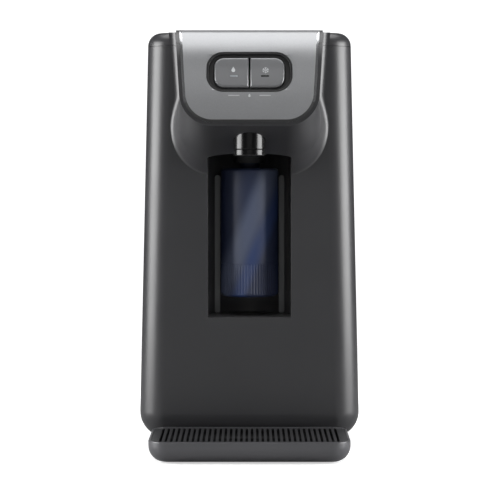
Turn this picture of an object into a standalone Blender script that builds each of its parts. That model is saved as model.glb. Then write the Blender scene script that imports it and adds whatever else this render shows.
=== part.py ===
"""Countertop water purifier that also chills water, as an assembly of separate pieces.

Metres, +Z up, front towards -Y. The origin is the middle of the footprint, on the counter.
"""

import math

import bmesh
import bpy
from mathutils import Matrix, Vector

MM = 0.001

# Clearances
GAP = 0.3 * MM              # between pieces that rest on or sit in each other
PLAY = 0.5 * MM             # round pieces that slide or turn

# Body shell
BODY_HALF_FOOT = 103.5 * MM     # half width at the foot
BODY_HALF_TOP = 95.3 * MM       # half width at the top
BODY_FRONT = -80 * MM
BODY_BOTTOM = 8 * MM
BODY_TOP = 388 * MM
FAR = 2 * BODY_TOP              # beyond every face of the purifier
WALL = 2.5 * MM
CORNER = 24 * MM                # upright corners, seen from above
SMALLEST_CORNER = 4 * MM
FOOT_ROUNDING = 25 * MM         # edge that curls under the body
UNDERSIDE_INSET = 20 * MM       # from the body's side to the opening for the base plate
CROWN_ROUNDING = 12 * MM        # edge of the top cover
COVER_HEIGHT = 13 * MM
SEAM = BODY_TOP - COVER_HEIGHT

# Head: the part that stands out over the glass
FASCIA_HEIGHT = 85 * MM
FASCIA_FOOT = BODY_TOP - FASCIA_HEIGHT
FASCIA_REACH = 78 * MM          # from the body's front to the fascia's lower edge
FASCIA_SWEEP = 57 * MM          # depth of the quarter ellipse that its profile follows
FASCIA_CURVE = FASCIA_HEIGHT + 5 * MM
FASCIA_HALF = 60 * MM
FASCIA_HALF_TOP = 64 * MM
FASCIA_CORNER = 27 * MM
FASCIA_THICKNESS = 2.5 * MM
FASCIA_CHAMFER = 0.8 * MM
HEAD_BAND = 3.2 * MM            # dark edge of the head that shows round the fascia
HEAD_FILLET = 8 * MM
HEAD_SLOPE = 46 * MM            # height of the slope under the head
SLOPE_START = 0.9               # share of that height where the slope leaves the body
HEAD_TOP = BODY_TOP - 0.4 * MM
HEAD_SINK = 0.1 * MM            # keeps the head's fillet just under the body's front

# Buttons, in their own leaning frame on the fascia
BUTTON_CENTRE = BODY_TOP - 39 * MM
RECESS_HALF_WIDTH = 38.7 * MM
RECESS_HALF_HEIGHT = 19.6 * MM
RECESS_CORNER = 15.5 * MM
BEZEL_FRONT = -2.2 * MM
BEZEL_FLOOR = -5 * MM
BEZEL_BACK = -14 * MM
BEZEL_WALL = 1.8 * MM
BUTTON_WIDTH = 30.9 * MM
BUTTON_HEIGHT = 29 * MM
BUTTON_PARTING = 1.3 * MM
BUTTON_CORNER = 9 * MM
BUTTON_FRONT = -1 * MM
BUTTON_BACK = -12 * MM
BUTTON_TRAVEL = 3 * MM
STEM_RADIUS = 3 * MM
STEM_END = -22 * MM
LIGHT_WIDTH = 7.2 * MM
LIGHT_HEIGHT = 1.4 * MM
LIGHT_PLACE = (14 * MM, -4.3 * MM)
SPRING_RADIUS = 4.6 * MM
SPRING_WIRE = 0.35 * MM
SPRING_TURNS = 3
BOARD_THICKNESS = 1.6 * MM
BOARD_FRONT = BUTTON_BACK - 6.4 * MM

# Valves and spout
VALVE_SPACING = 34 * MM
VALVE_RADIUS = 9 * MM
VALVE_FRONT = -26 * MM
VALVE_BACK = -48 * MM
VALVE_BORE_END = -42 * MM
PLUNGER_RADIUS = 2.5 * MM
PLUNGER_END = -38 * MM
BARB_RADIUS = 3 * MM
BARB_LENGTH = 9 * MM
OUTLET_PLACE = -44 * MM
OUTLET_DROP = 22 * MM
NOZZLE_Y = -130 * MM
NOZZLE_RADIUS = 14.45 * MM
NOZZLE_TIP_END = BODY_TOP - 115.6 * MM
NOZZLE_SPLIT = NOZZLE_TIP_END + 6.2 * MM
MANIFOLD_FLOOR = FASCIA_FOOT + 1.5 * MM
MANIFOLD_TOP = MANIFOLD_FLOOR + 15.5 * MM
POST_RADIUS = 3.5 * MM
POST_PLACE = (28 * MM, -112 * MM)

# Filter and its niche
NICHE_RADIUS = 39 * MM
NICHE_FLOOR = 122 * MM
NICHE_CEILING = BODY_TOP - 111 * MM
NICHE_ARCH = 4.6 * MM
NICHE_WALL = 2 * MM
LINTEL_REACH = 34 * MM          # depth of the solid edge over the niche, in front of the body
FILTER_Y = -44 * MM
FILTER_RADIUS = 27.4 * MM
FILTER_LIFT = 18 * MM           # finger room under the cartridge
FILTER_TRAVEL = 16 * MM
CARTRIDGE_TOP = NICHE_CEILING - 16 * MM
NECK_RADIUS = 9 * MM
NECK_TOP = NICHE_CEILING - 2 * MM
SOCKET_RADIUS = 9.7 * MM
CORE_RADIUS = 15 * MM
CORE_FOOT = NECK_TOP - 9 * MM
HEAD_CAP_RADIUS = 30 * MM
HEAD_CAP_HEIGHT = 20 * MM
FILTER_PORTS = (-14 * MM, 0.0, 14 * MM)
FILTER_PORT_TOP = NICHE_CEILING + NICHE_WALL + GAP + HEAD_CAP_HEIGHT + 8 * MM

# Cold tank and its cooler
TANK_RADIUS = 40 * MM
TANK_WALL = 1.2 * MM
TANK_FLOOR = 100 * MM
TANK_HEIGHT = BODY_TOP - 198 * MM     # leaves room over it for the lid, foam and tubes
TANK_TOP = TANK_FLOOR + TANK_HEIGHT
TANK_PORTS = (-12 * MM, 12 * MM)
TANK_PORT_TOP = TANK_TOP + 28 * MM
TANK_RIM = TANK_RADIUS + 4 * MM
LID_FLANGE = 6 * MM
FOAM = 10 * MM
FOAM_RADIUS = TANK_RIM + FOAM + PLAY
TANK_Y = FILTER_Y + NICHE_RADIUS + NICHE_WALL + 9.5 * MM + FOAM_RADIUS     # clear of the niche
FOAM_FLOOR = TANK_FLOOR - FOAM - PLAY
FOAM_TOP = TANK_TOP + 18 * MM
COOLER_HEIGHT = TANK_FLOOR + TANK_HEIGHT / 2
COOLER_SIDE = 40 * MM
COLD_BLOCK_BACK = TANK_Y + TANK_RADIUS + 15 * MM
MODULE_THICKNESS = 4 * MM
SINK_SIDE = 90 * MM
SINK_BASE = 5 * MM
SINK_DEPTH = 30 * MM
FIN_COUNT = 12
FIN_THICKNESS = 1.5 * MM
FAN_SIDE = 80 * MM
FAN_DEPTH = 21 * MM
FAN_BORE = 37 * MM
FAN_HUB = 13 * MM
BLADE_COUNT = 7
SINK_FRONT = COLD_BLOCK_BACK + MODULE_THICKNESS + 2 * GAP
FAN_FRONT = SINK_FRONT + SINK_DEPTH + GAP
BODY_BACK = FAN_FRONT + FAN_DEPTH + WALL + 2.6 * MM      # leaves air behind the fan
REAR_SPLIT = BODY_BACK - CORNER

# Base, power and connections
PLATE_THICKNESS = 3.5 * MM
FOOT_RADIUS = 10 * MM
FOOT_STUB = 4 * MM
FOOT_PLACES = ((66 * MM, -42 * MM), (66 * MM, 138 * MM))
SUPPLY_SIZE = (80 * MM, 72 * MM, 34 * MM)
INLET_PLACE = (50 * MM, 60 * MM)
DRAIN_PLACE = (-50 * MM, 45 * MM)
CORD_PLACE = (0.0, 45 * MM)
FITTING_DEPTH = 8 * MM          # how far the connections stand out behind the body
COLLET_TRAVEL = 1.5 * MM
TUBE_RADIUS = 3 * MM
SCREW_PLACES = ((78 * MM, 70 * MM), (74 * MM, 330 * MM))
SCREW_RADIUS = 1.6 * MM
SCREW_HEAD = 3.4 * MM

# Drip tray
TRAY_HALF = 90 * MM
TRAY_FRONT = -185 * MM
TRAY_BOTTOM = 0.8 * MM
TRAY_TOP = 20 * MM
TRAY_CORNER = 18 * MM
TRAY_ROUNDING = 14 * MM
TRAY_WALL = 2 * MM
TRAY_BACK = BODY_FRONT + TRAY_WALL + GAP - PLAY     # lets the grille lift past the body's front
LEDGE = 2 * MM
GRILLE_THICKNESS = 3 * MM
SLOT_COUNT = 34
SLOT_PITCH = 4.8 * MM
SLOT_WIDTH = 2.4 * MM
RAIL_X = 38 * MM
RAIL_WIDTH = 14 * MM
RAIL_FOOT = 3 * MM
RAIL_TOP = 6 * MM
RAIL_END = 40 * MM


# ---------------------------------------------------------------- modelling helpers

def clear_scene():
    """Remove whatever the file opened with."""
    for thing in list(bpy.data.objects):
        bpy.data.objects.remove(thing, do_unlink=True)


def new_collection(name):
    folder = bpy.data.collections.new(name)
    bpy.context.scene.collection.children.link(folder)
    return folder


clear_scene()
PURIFIER = new_collection("water_purifier")
CUTTERS = new_collection("cutters")


def material(name, colour, roughness, metallic=0.0):
    """A plain Principled material; colour is linear red, green, blue."""
    made = bpy.data.materials.new(name)
    made.use_nodes = True
    shader = made.node_tree.nodes["Principled BSDF"]
    shader.inputs["Base Color"].default_value = (*colour, 1.0)
    shader.inputs["Roughness"].default_value = roughness
    shader.inputs["Metallic"].default_value = metallic
    return made


SHELL = material("dark_shell", (0.035, 0.035, 0.037), 0.35)
SILVER = material("silver_fascia", (0.35, 0.35, 0.36), 0.35, 0.6)
BLACK = material("black_gloss", (0.01, 0.01, 0.011), 0.15)
BUTTON = material("button_grey", (0.12, 0.12, 0.125), 0.3)
LIGHT = material("light_guide", (0.6, 0.62, 0.65), 0.2)
BLUE = material("blue_label", (0.03, 0.07, 0.25), 0.3)
MATTE = material("black_matte", (0.02, 0.02, 0.02), 0.6)
RUBBER = material("rubber", (0.02, 0.02, 0.02), 0.8)
WHITE = material("white_plastic", (0.75, 0.75, 0.73), 0.4)
FOAM_WHITE = material("foam", (0.85, 0.85, 0.85), 0.9)
ALUMINIUM = material("aluminium", (0.6, 0.6, 0.62), 0.35, 1.0)
STEEL = material("steel", (0.55, 0.55, 0.56), 0.3, 1.0)
CERAMIC = material("ceramic", (0.8, 0.8, 0.78), 0.4)
CIRCUIT = material("circuit_board", (0.02, 0.12, 0.05), 0.5)
TUBING = material("food_tube", (0.6, 0.65, 0.7), 0.3)


def move_to(thing, folder):
    """Put an object in one collection and no other."""
    for other in list(thing.users_collection):
        other.objects.unlink(thing)
    folder.objects.link(thing)
    return thing


def finish(thing, name, made_of, smooth=True):
    """Name a piece, give it its material and put it with the purifier."""
    thing.name = name
    thing.data.name = name
    thing.data.materials.clear()
    thing.data.materials.append(made_of)
    if smooth:
        thing.data.shade_smooth()
        thing.data.set_sharp_from_angle(angle=math.radians(35))
    return move_to(thing, PURIFIER)


def as_cutter(thing, name):
    """Turn an object into a tool for Boolean modifiers, which isn't part of the object."""
    thing.name = name
    thing.hide_render = True
    thing.display_type = "WIRE"
    return move_to(thing, CUTTERS)


def combine(piece, operation, tool):
    """Cut, join or trim a piece with a tool."""
    step = piece.modifiers.new(tool.name, "BOOLEAN")
    step.operation = operation
    step.solver = "EXACT"
    step.object = tool
    return piece


def cut(piece, tool):
    return combine(piece, "DIFFERENCE", as_cutter(tool, f"{piece.name}_cut"))


def join(piece, tool):
    return combine(piece, "UNION", as_cutter(tool, f"{piece.name}_join"))


def round_edges(piece, width, segments=2, angle=40):
    """Round the edges that are sharper than an angle in degrees."""
    step = piece.modifiers.new("rounding", "BEVEL")
    step.width = width
    step.segments = segments
    step.limit_method = "ANGLE"
    step.angle_limit = math.radians(angle)
    return piece


def new_object(name, data):
    made = bpy.data.objects.new(name, data)
    bpy.context.scene.collection.objects.link(made)
    return made


def evaluated_mesh(thing):
    """The mesh that an object's modifiers or curve settings give."""
    bpy.context.view_layer.update()
    graph = bpy.context.evaluated_depsgraph_get()
    return bpy.data.meshes.new_from_object(thing.evaluated_get(graph))


def as_mesh(curve):
    """Replace a curve object by a mesh object with welded caps."""
    mesh = evaluated_mesh(curve)
    body = bmesh.new()
    body.from_mesh(mesh)
    bmesh.ops.remove_doubles(body, verts=body.verts, dist=0.001 * MM)
    body.to_mesh(mesh)
    body.free()
    made = new_object(curve.name, mesh)
    made.matrix_world = curve.matrix_world
    bpy.data.objects.remove(curve, do_unlink=True)
    return made


def box(low, high):
    """A box between two opposite corners."""
    low, high = Vector(low), Vector(high)
    bpy.ops.mesh.primitive_cube_add(size=1, location=(low + high) / 2)
    made = bpy.context.object
    made.data.transform(Matrix.Diagonal((*(high - low), 1)))
    return made


def boxes(spans):
    """Several separate boxes in one object, for rows of slots or ribs."""
    mesh = bpy.data.meshes.new("boxes")
    body = bmesh.new()
    for low, high in spans:
        low, high = Vector(low), Vector(high)
        place = Matrix.Translation((low + high) / 2) @ Matrix.Diagonal((*(high - low), 1))
        bmesh.ops.create_cube(body, size=1, matrix=place)
    body.to_mesh(mesh)
    body.free()
    return new_object("boxes", mesh)


def cylinder(radius, start, end, sides=32):
    """A cylinder from one end point to the other."""
    start, end = Vector(start), Vector(end)
    run = end - start
    bpy.ops.mesh.primitive_cylinder_add(vertices=sides, radius=radius, depth=run.length)
    made = bpy.context.object
    turn = run.to_track_quat("Z", "Y").to_matrix().to_4x4()
    made.matrix_world = Matrix.Translation((start + end) / 2) @ turn
    return made


def clockwise(profile):
    """The profile, turned round if needed to run down its outer side."""
    pairs = zip(profile, [*profile[1:], profile[0]])
    twice_area = sum(r * next_h - next_r * h for (r, h), (next_r, next_h) in pairs)
    return profile if twice_area < 0 else profile[::-1]


def turned(profile, place, axis=(0, 0, 1), steps=24, closed=False):
    """A turned solid. profile is (radius, height) points, along the axis."""
    mesh = bpy.data.meshes.new("profile")
    profile = clockwise(profile)
    count = len(profile)
    edges = [(i, i + 1) for i in range(count - 1)]
    if closed:
        edges.append((count - 1, 0))
    mesh.from_pydata([(radius, 0, height) for radius, height in profile], edges, [])
    made = new_object("turned", mesh)
    step = made.modifiers.new("turn", "SCREW")
    step.steps = steps
    step.render_steps = steps
    step.use_merge_vertices = True
    step.merge_threshold = 0.001 * MM
    turn = Vector(axis).to_track_quat("Z", "Y").to_matrix().to_4x4()
    made.matrix_world = Matrix.Translation(place) @ turn
    return made


def arc(centre, radius, start, end, steps):
    """Points along an arc in a plane, angles in degrees."""
    turn = [math.radians(start + (end - start) * i / steps) for i in range(steps + 1)]
    return [(centre[0] + radius * math.cos(a), centre[1] + radius * math.sin(a)) for a in turn]


def rounded_outline(half_width, half_height, radius, steps=5):
    """A rectangle with round corners about the origin, counter-clockwise."""
    x, y = half_width - radius, half_height - radius
    corners = ((x, y, 0), (-x, y, 90), (-x, -y, 180), (x, -y, 270))
    return [p for cx, cy, start in corners for p in arc((cx, cy), radius, start, start + 90, steps)]


def slab(outlines, low, high):
    """A flat outline, with any holes, between two heights of its own frame."""
    flat = bpy.data.curves.new("outline", "CURVE")
    flat.dimensions = "2D"
    flat.fill_mode = "BOTH"
    flat.extrude = (high - low) / 2
    for outline in outlines:
        line = flat.splines.new("POLY")
        line.points.add(len(outline) - 1)
        for point, (x, y) in zip(line.points, outline):
            point.co = (x, y, 0, 1)
        line.use_cyclic_u = True
    made = as_mesh(new_object("slab", flat))
    made.data.transform(Matrix.Translation((0, 0, (low + high) / 2)))
    return made


def smooth_route(route, spacing):
    """Points along a smooth curve through a route, straight on its first and last stretch."""
    knots = [Vector(point) for point in route]
    before, after = [knots[0], *knots[:-1]], [*knots[1:], knots[-1]]
    directions = [(b - a).normalized() for a, b in zip(before, after)]
    directions[1], directions[-2] = directions[0], directions[-1]
    points = []
    for start, end, leave, arrive in zip(knots, knots[1:], directions, directions[1:]):
        length = (end - start).length
        count = max(2, round(length / spacing))
        for i in range(count):
            t = i / count
            points.append(start * (2 * t ** 3 - 3 * t ** 2 + 1) + end * (3 * t ** 2 - 2 * t ** 3)
                          + leave * length * (t ** 3 - 2 * t ** 2 + t) + arrive * length * (t ** 3 - t ** 2))
    return [*points, knots[-1]]


def tube(points, radius, resolution=2):
    """A round tube or wire along points."""
    wire = bpy.data.curves.new("tube", "CURVE")
    wire.dimensions = "3D"
    wire.bevel_depth = radius
    wire.bevel_resolution = resolution
    wire.use_fill_caps = True
    line = wire.splines.new("POLY")
    line.points.add(len(points) - 1)
    for point, place in zip(line.points, points):
        point.co = (*place, 1)
    return as_mesh(new_object("tube", wire))


def mirrored(points):
    """A closed loop from its right half, which starts and ends beside the mirror plane."""
    return points + [(-x, y, z) for x, y, z in reversed(points)]


def loft(rings):
    """A closed skin over mirrored rings of matching points.

    Strips straight across from each point to its mirror point close both ends.
    """
    mesh = bpy.data.meshes.new("loft")
    body = bmesh.new()
    rows = [[body.verts.new(point) for point in ring] for ring in rings]
    count = len(rows[0])
    for low, high in zip(rows, rows[1:]):
        for i in range(count):
            j = (i + 1) % count
            body.faces.new((low[i], low[j], high[j], high[i]))
    for row in (rows[0], rows[-1]):
        for i in range(count // 2 - 1):
            body.faces.new((row[i], row[i + 1], row[count - 2 - i], row[count - 1 - i]))
    bmesh.ops.recalc_face_normals(body, faces=body.faces)
    body.to_mesh(mesh)
    body.free()
    return new_object("loft", mesh)


# ---------------------------------------------------------------- body shell

def body_half(z):
    """Half width of the body, which narrows evenly from foot to top."""
    share = (z - BODY_BOTTOM) / (BODY_TOP - BODY_BOTTOM)
    return BODY_HALF_FOOT + (BODY_HALF_TOP - BODY_HALF_FOOT) * share


def plan_ring(half, front, back, radius, z, steps=5):
    """A rectangle with round corners, seen from above, at height z."""
    rear = arc((half - radius, back - radius), radius, 90, 0, steps)
    fore = arc((half - radius, front + radius), radius, 0, -90, steps)
    return mirrored([(x, y, z) for x, y in rear + fore])


def body_ring(z, inset, steps=5):
    """The body's outline at height z, moved in by an inset."""
    radius = max(CORNER - inset, SMALLEST_CORNER)
    front, back = BODY_FRONT + inset, BODY_BACK - inset
    return plan_ring(body_half(z) - inset, front, back, radius, z, steps)


def body_form(skin):
    """The body's outer form, or its hollow when skin is the wall's thickness."""
    foot = FOOT_ROUNDING - skin
    crown = CROWN_ROUNDING - skin
    start = math.asin((FOOT_ROUNDING - UNDERSIDE_INSET) / foot)
    steps = 3 if skin else 5
    rings = []
    if skin:
        rings.append(body_ring(0.0, UNDERSIDE_INSET, steps))
    for i in range(steps + 1):
        turn = start + (math.pi / 2 - start) * i / steps
        z = BODY_BOTTOM + FOOT_ROUNDING - foot * math.cos(turn)
        rings.append(body_ring(z, FOOT_ROUNDING - foot * math.sin(turn), steps))
    for i in range(steps):
        turn = math.pi / 2 * i / (steps - 1)
        z = BODY_TOP - CROWN_ROUNDING + crown * math.sin(turn)
        rings.append(body_ring(z, CROWN_ROUNDING - crown * math.cos(turn), steps))
    return loft(rings)


def head_rise(z):
    """Sine of the place on the fascia's quarter ellipse at height z."""
    return max(z - FASCIA_FOOT, 0.0) / FASCIA_CURVE


def head_tilt(z):
    """How far the fascia leans back at height z, in radians."""
    rise = head_rise(z)
    return math.atan(FASCIA_SWEEP / FASCIA_CURVE * rise / math.sqrt(1 - rise ** 2))


def head_reach(z, below=0.0):
    """Distance from the body's front to a surface that lies below the fascia's face."""
    lean = math.sqrt(1 - head_rise(z) ** 2)
    return FASCIA_REACH - FASCIA_SWEEP * (1 - lean) - below / math.cos(head_tilt(z))


def head_outline(margin, top, steps=6):
    """Right half of the head's face: points, outward directions and closeness to its foot."""
    foot = FASCIA_FOOT - margin
    radius = FASCIA_CORNER + margin
    centre = (FASCIA_HALF + margin - radius, foot + radius)
    slope = (FASCIA_HALF_TOP - FASCIA_HALF) / (BODY_TOP - centre[1])
    first, last = math.asin(head_rise(top)), math.asin(head_rise(centre[1]))
    outline = []
    for i in range(steps):
        z = FASCIA_FOOT + FASCIA_CURVE * math.sin(first + (last - first) * i / steps)
        x = FASCIA_HALF + margin + slope * (z - centre[1])
        outline.append(((x, z), (1.0, 0.0), 0.0))
    for i, place in enumerate(arc(centre, radius, 0, -90, steps)):
        turn = math.pi / 2 * i / steps
        outline.append((place, (math.cos(turn), -math.sin(turn)), math.sin(turn) ** 2))
    return outline


def slope_drop(progress):
    """How far the slope under the head is below its front edge, from the body (0) to the edge (1)."""
    back = 1 - progress
    return HEAD_SLOPE * (back ** 2 + 2 * SLOPE_START * progress * back)


def head_ring(progress, skin, steps, sink=0.0):
    """A ring of the head, from its fillet on the body (progress 0) to its face (1)."""
    ring = []
    for (x, z), (dx, dz), low in head_outline(HEAD_BAND - skin, HEAD_TOP - skin, steps):
        reach = head_reach(z, FASCIA_THICKNESS + GAP)
        turn = math.pi * min(progress, 0.5)
        side_out = HEAD_FILLET * (1 - math.sin(turn))
        side_reach = HEAD_FILLET * (1 - math.cos(turn))
        side_reach += (reach - HEAD_FILLET) * max(2 * progress - 1, 0)
        under_out = slope_drop(progress)
        under_reach = reach * progress ** 2
        out = side_out + (under_out - side_out) * low
        forward = side_reach + (under_reach - side_reach) * low - skin - sink
        ring.append((x + dx * out, BODY_FRONT - forward, z + dz * out))
    return mirrored(ring)


def head_form(skin):
    """The head's outer form, or its hollow when skin is the wall's thickness."""
    steps = 4 if skin else 8
    root = head_ring(0, skin, steps, CROWN_ROUNDING + WALL)
    return loft([root, *(head_ring(i / steps, skin, steps, HEAD_SINK) for i in range(steps + 1))])


def slope_height(y):
    """Height of the head's underside, on the middle plane, at depth y."""
    reach = head_reach(FASCIA_FOOT, FASCIA_THICKNESS + GAP)
    return FASCIA_FOOT - HEAD_BAND - slope_drop(math.sqrt((BODY_FRONT - y) / reach))


def shell_mesh():
    """The whole outer shell, before it is split into housing, rear cover and top cover."""
    outer = as_cutter(body_form(0.0), "outer_form")
    combine(outer, "UNION", as_cutter(head_form(0.0), "outer_head"))
    inner = as_cutter(body_form(WALL), "inner_form")
    combine(inner, "UNION", as_cutter(head_form(WALL), "inner_head"))
    combine(outer, "DIFFERENCE", inner)
    return evaluated_mesh(outer)


def shell_piece(mesh, name, low, high):
    """The stretch of the shell that lies between two corners."""
    piece = finish(new_object(name, mesh.copy()), name, SHELL)
    return combine(piece, "INTERSECT", as_cutter(box(low, high), f"{name}_stretch"))


def niche_opening():
    """The arched cut through the housing's front."""
    side = NICHE_CEILING - 2 * MM - NICHE_ARCH
    steps = 8
    top = [(NICHE_RADIUS * math.cos(a), side + NICHE_ARCH * math.sin(a))
           for a in (math.pi * i / steps for i in range(steps + 1))]
    foot = [(-NICHE_RADIUS, NICHE_FLOOR), (NICHE_RADIUS, NICHE_FLOOR)]
    opening = slab([top + foot], -BODY_FRONT - 3 * WALL, LINTEL_REACH - BODY_FRONT)
    opening.matrix_world = Matrix.Rotation(math.pi / 2, 4, "X")
    return opening


def niche_lintel():
    """Solid stretch of the head round the niche's top, so that its cut doesn't open the hollow."""
    half = NICHE_RADIUS + NICHE_WALL
    low = (-half, BODY_FRONT - LINTEL_REACH, FASCIA_FOOT - HEAD_BAND - HEAD_SLOPE - MM)
    high = (half, BODY_FRONT + WALL / 2, NICHE_CEILING + NICHE_WALL)
    lintel = as_cutter(head_form(WALL / 2), "lintel_form")
    return combine(lintel, "INTERSECT", as_cutter(box(low, high), "lintel_stretch"))


def screw_lugs():
    """Blocks on the housing's side walls that the rear cover's screws bite into."""
    spans = []
    for x, z in SCREW_PLACES:
        wall = body_half(z) - WALL / 2
        for side in (-1, 1):
            edges = sorted((side * (x - 5 * MM), side * wall))
            spans.append(((edges[0], REAR_SPLIT - 14 * MM, z - 6 * MM),
                          (edges[1], REAR_SPLIT, z + 6 * MM)))
    return boxes(spans)


def front_housing(mesh):
    """Front and sides of the body, with the lower part of the head."""
    piece = shell_piece(mesh, "front_housing", (-FAR, -FAR, 0), (FAR, REAR_SPLIT, SEAM))
    join(piece, screw_lugs())
    join(piece, niche_lintel())
    for side in (-1, 1):
        x, y = side * POST_PLACE[0], POST_PLACE[1]
        foot = slope_height(y - POST_RADIUS) + GAP
        join(piece, cylinder(POST_RADIUS, (x, y, foot), (x, y, MANIFOLD_FLOOR - GAP), 16))
    cut(piece, niche_opening())
    cut(piece, button_slab(RECESS_HALF_WIDTH, RECESS_HALF_HEIGHT, RECESS_CORNER, -30 * MM, 10 * MM))
    low, high = (0, NOZZLE_Y, NOZZLE_TIP_END), (0, NOZZLE_Y, MANIFOLD_FLOOR)
    cut(piece, cylinder(NOZZLE_RADIUS + GAP, low, high))
    for x, z in SCREW_PLACES:
        for side in (-1, 1):
            start = (side * x, REAR_SPLIT - 12 * MM, z)
            end = (side * x, REAR_SPLIT + 1 * MM, z)
            cut(piece, cylinder(SCREW_RADIUS + GAP, start, end, 12))


def rear_vents():
    """Slots in front of the fan and a row for air lower down."""
    spans = []
    for i in range(-4, 5):
        rise = 8 * MM * i
        half = math.sqrt(FAN_BORE ** 2 - rise ** 2)
        z = COOLER_HEIGHT + rise
        spans.append(((-half, BODY_BACK - 2 * WALL, z - 1.6 * MM), (half, FAR, z + 1.6 * MM)))
    for i in range(4):
        z = 96 * MM + 8 * MM * i
        spans.append(((-45 * MM, BODY_BACK - 2 * WALL, z - 1.6 * MM), (45 * MM, FAR, z + 1.6 * MM)))
    return boxes(spans)


def rear_cover(mesh):
    """Back of the body, with screw wells, vents and holes for the connections."""
    low, high = (-FAR, REAR_SPLIT + GAP, 0), (FAR, FAR, SEAM)
    piece = shell_piece(mesh, "rear_cover", low, high)
    for x, z in SCREW_PLACES:
        for side in (-1, 1):
            start = (side * x, REAR_SPLIT + GAP, z)
            join(piece, cylinder(6 * MM, start, (side * x, BODY_BACK - WALL / 2, z), 12))
    for x, z in SCREW_PLACES:
        for side in (-1, 1):
            through = (side * x, REAR_SPLIT - GAP, z)
            seat = (side * x, REAR_SPLIT + 8 * MM, z)
            outside = (side * x, BODY_BACK + MM, z)
            cut(piece, cylinder(SCREW_RADIUS + GAP, through, outside, 12))
            cut(piece, cylinder(SCREW_HEAD + PLAY, seat, outside, 12))
    cut(piece, rear_vents())
    for x, z in (INLET_PLACE, DRAIN_PLACE, CORD_PLACE):
        start = (x, BODY_BACK - 2 * WALL, z)
        cut(piece, cylinder(7 * MM + GAP, start, (x, BODY_BACK + MM, z), 16))


def top_cover(mesh):
    """Lid over the body and the head."""
    shell_piece(mesh, "top_cover", (-FAR, -FAR, SEAM + GAP), (FAR, FAR, FAR))


def rear_screws():
    """Four pan-head screws that hold the rear cover."""
    length = 18 * MM
    head = [(0, 2.2 * MM), (2 * MM, 2.2 * MM), (SCREW_HEAD, 0.9 * MM), (SCREW_HEAD, 0),
            (SCREW_RADIUS, 0), (SCREW_RADIUS, -length), (0, -length - 1.5 * MM)]
    names = ("lower", "upper")
    for (x, z), level in zip(SCREW_PLACES, names):
        for side, word in ((-1, "left"), (1, "right")):
            place = (side * x, REAR_SPLIT + 8 * MM + GAP, z)
            finish(turned(head, place, (0, 1, 0), 12), f"rear_screw_{level}_{word}", STEEL)


# ---------------------------------------------------------------- fascia and buttons

BUTTON_TILT = head_tilt(BUTTON_CENTRE)
BUTTON_FRAME = (Matrix.Translation((0, BODY_FRONT - head_reach(BUTTON_CENTRE), BUTTON_CENTRE))
                @ Matrix.Rotation(math.pi / 2 - BUTTON_TILT, 4, "X"))


def on_fascia(thing, place=(0, 0, 0)):
    """Place an object in the leaning frame: +Y up the fascia, +Z out of it."""
    thing.matrix_world = BUTTON_FRAME @ Matrix.Translation(place) @ thing.matrix_world
    return thing


def button_slab(half_width, half_height, radius, low, high):
    """A rounded slab in the leaning frame."""
    return on_fascia(slab([rounded_outline(half_width, half_height, radius)], low, high))


def fascia_ring(margin, below):
    """An outline of the fascia at a depth below its face."""
    top = HEAD_TOP - max(-margin, 0)
    points = [(x, BODY_FRONT - head_reach(z, below), z)
              for (x, z), _, _ in head_outline(margin, top)]
    return mirrored(points)


def control_fascia():
    """Silver panel that follows the head's curved face."""
    rings = [fascia_ring(0, FASCIA_THICKNESS), fascia_ring(0, FASCIA_CHAMFER),
             fascia_ring(-FASCIA_CHAMFER, 0)]
    piece = finish(loft(rings), "control_fascia", SILVER)
    opening = button_slab(RECESS_HALF_WIDTH, RECESS_HALF_HEIGHT, RECESS_CORNER, -30 * MM, 10 * MM)
    cut(piece, opening)


def button_bezel():
    """Dark frame round both buttons: a short tub with a window in its floor."""
    half_width = RECESS_HALF_WIDTH - GAP
    half_height = RECESS_HALF_HEIGHT - GAP
    corner = RECESS_CORNER - GAP
    window_half = BUTTON_WIDTH + BUTTON_PARTING / 2 + PLAY
    window = rounded_outline(window_half, BUTTON_HEIGHT / 2 + PLAY, BUTTON_CORNER + PLAY)
    rim = rounded_outline(half_width, half_height, corner)
    piece = on_fascia(slab([rim], BEZEL_BACK, BEZEL_FRONT))
    finish(piece, "button_bezel", BLACK)
    inner = (half_width - BEZEL_WALL, half_height - BEZEL_WALL, corner - BEZEL_WALL)
    cut(piece, button_slab(*inner, BEZEL_FLOOR, 10 * MM))
    cut(piece, button_slab(*inner, -FAR, BEZEL_FLOOR - 2 * MM))
    cut(piece, on_fascia(slab([window], -FAR, 10 * MM)))


def button_outline(side):
    """One button: round outer corners, nearly square corners towards its neighbour."""
    inner, outer = side * BUTTON_PARTING / 2, side * (BUTTON_PARTING / 2 + BUTTON_WIDTH)
    top = BUTTON_HEIGHT / 2
    centre = outer - side * BUTTON_CORNER
    upper = arc((centre, top - BUTTON_CORNER), BUTTON_CORNER, 90, 90 - 90 * side, 6)
    lower = arc((centre, BUTTON_CORNER - top), BUTTON_CORNER, -90 + 90 * side, -90, 6)
    return [(inner, top), *upper, *lower, (inner, -top)]


def light_slot(side, clearance, low, high):
    """The slit of light below a button's symbol."""
    x, y = side * LIGHT_PLACE[0], LIGHT_PLACE[1]
    half_width, half_height = LIGHT_WIDTH / 2 + clearance, LIGHT_HEIGHT / 2 + clearance
    return on_fascia(box((x - half_width, y - half_height, low), (x + half_width, y + half_height, high)))


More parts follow.
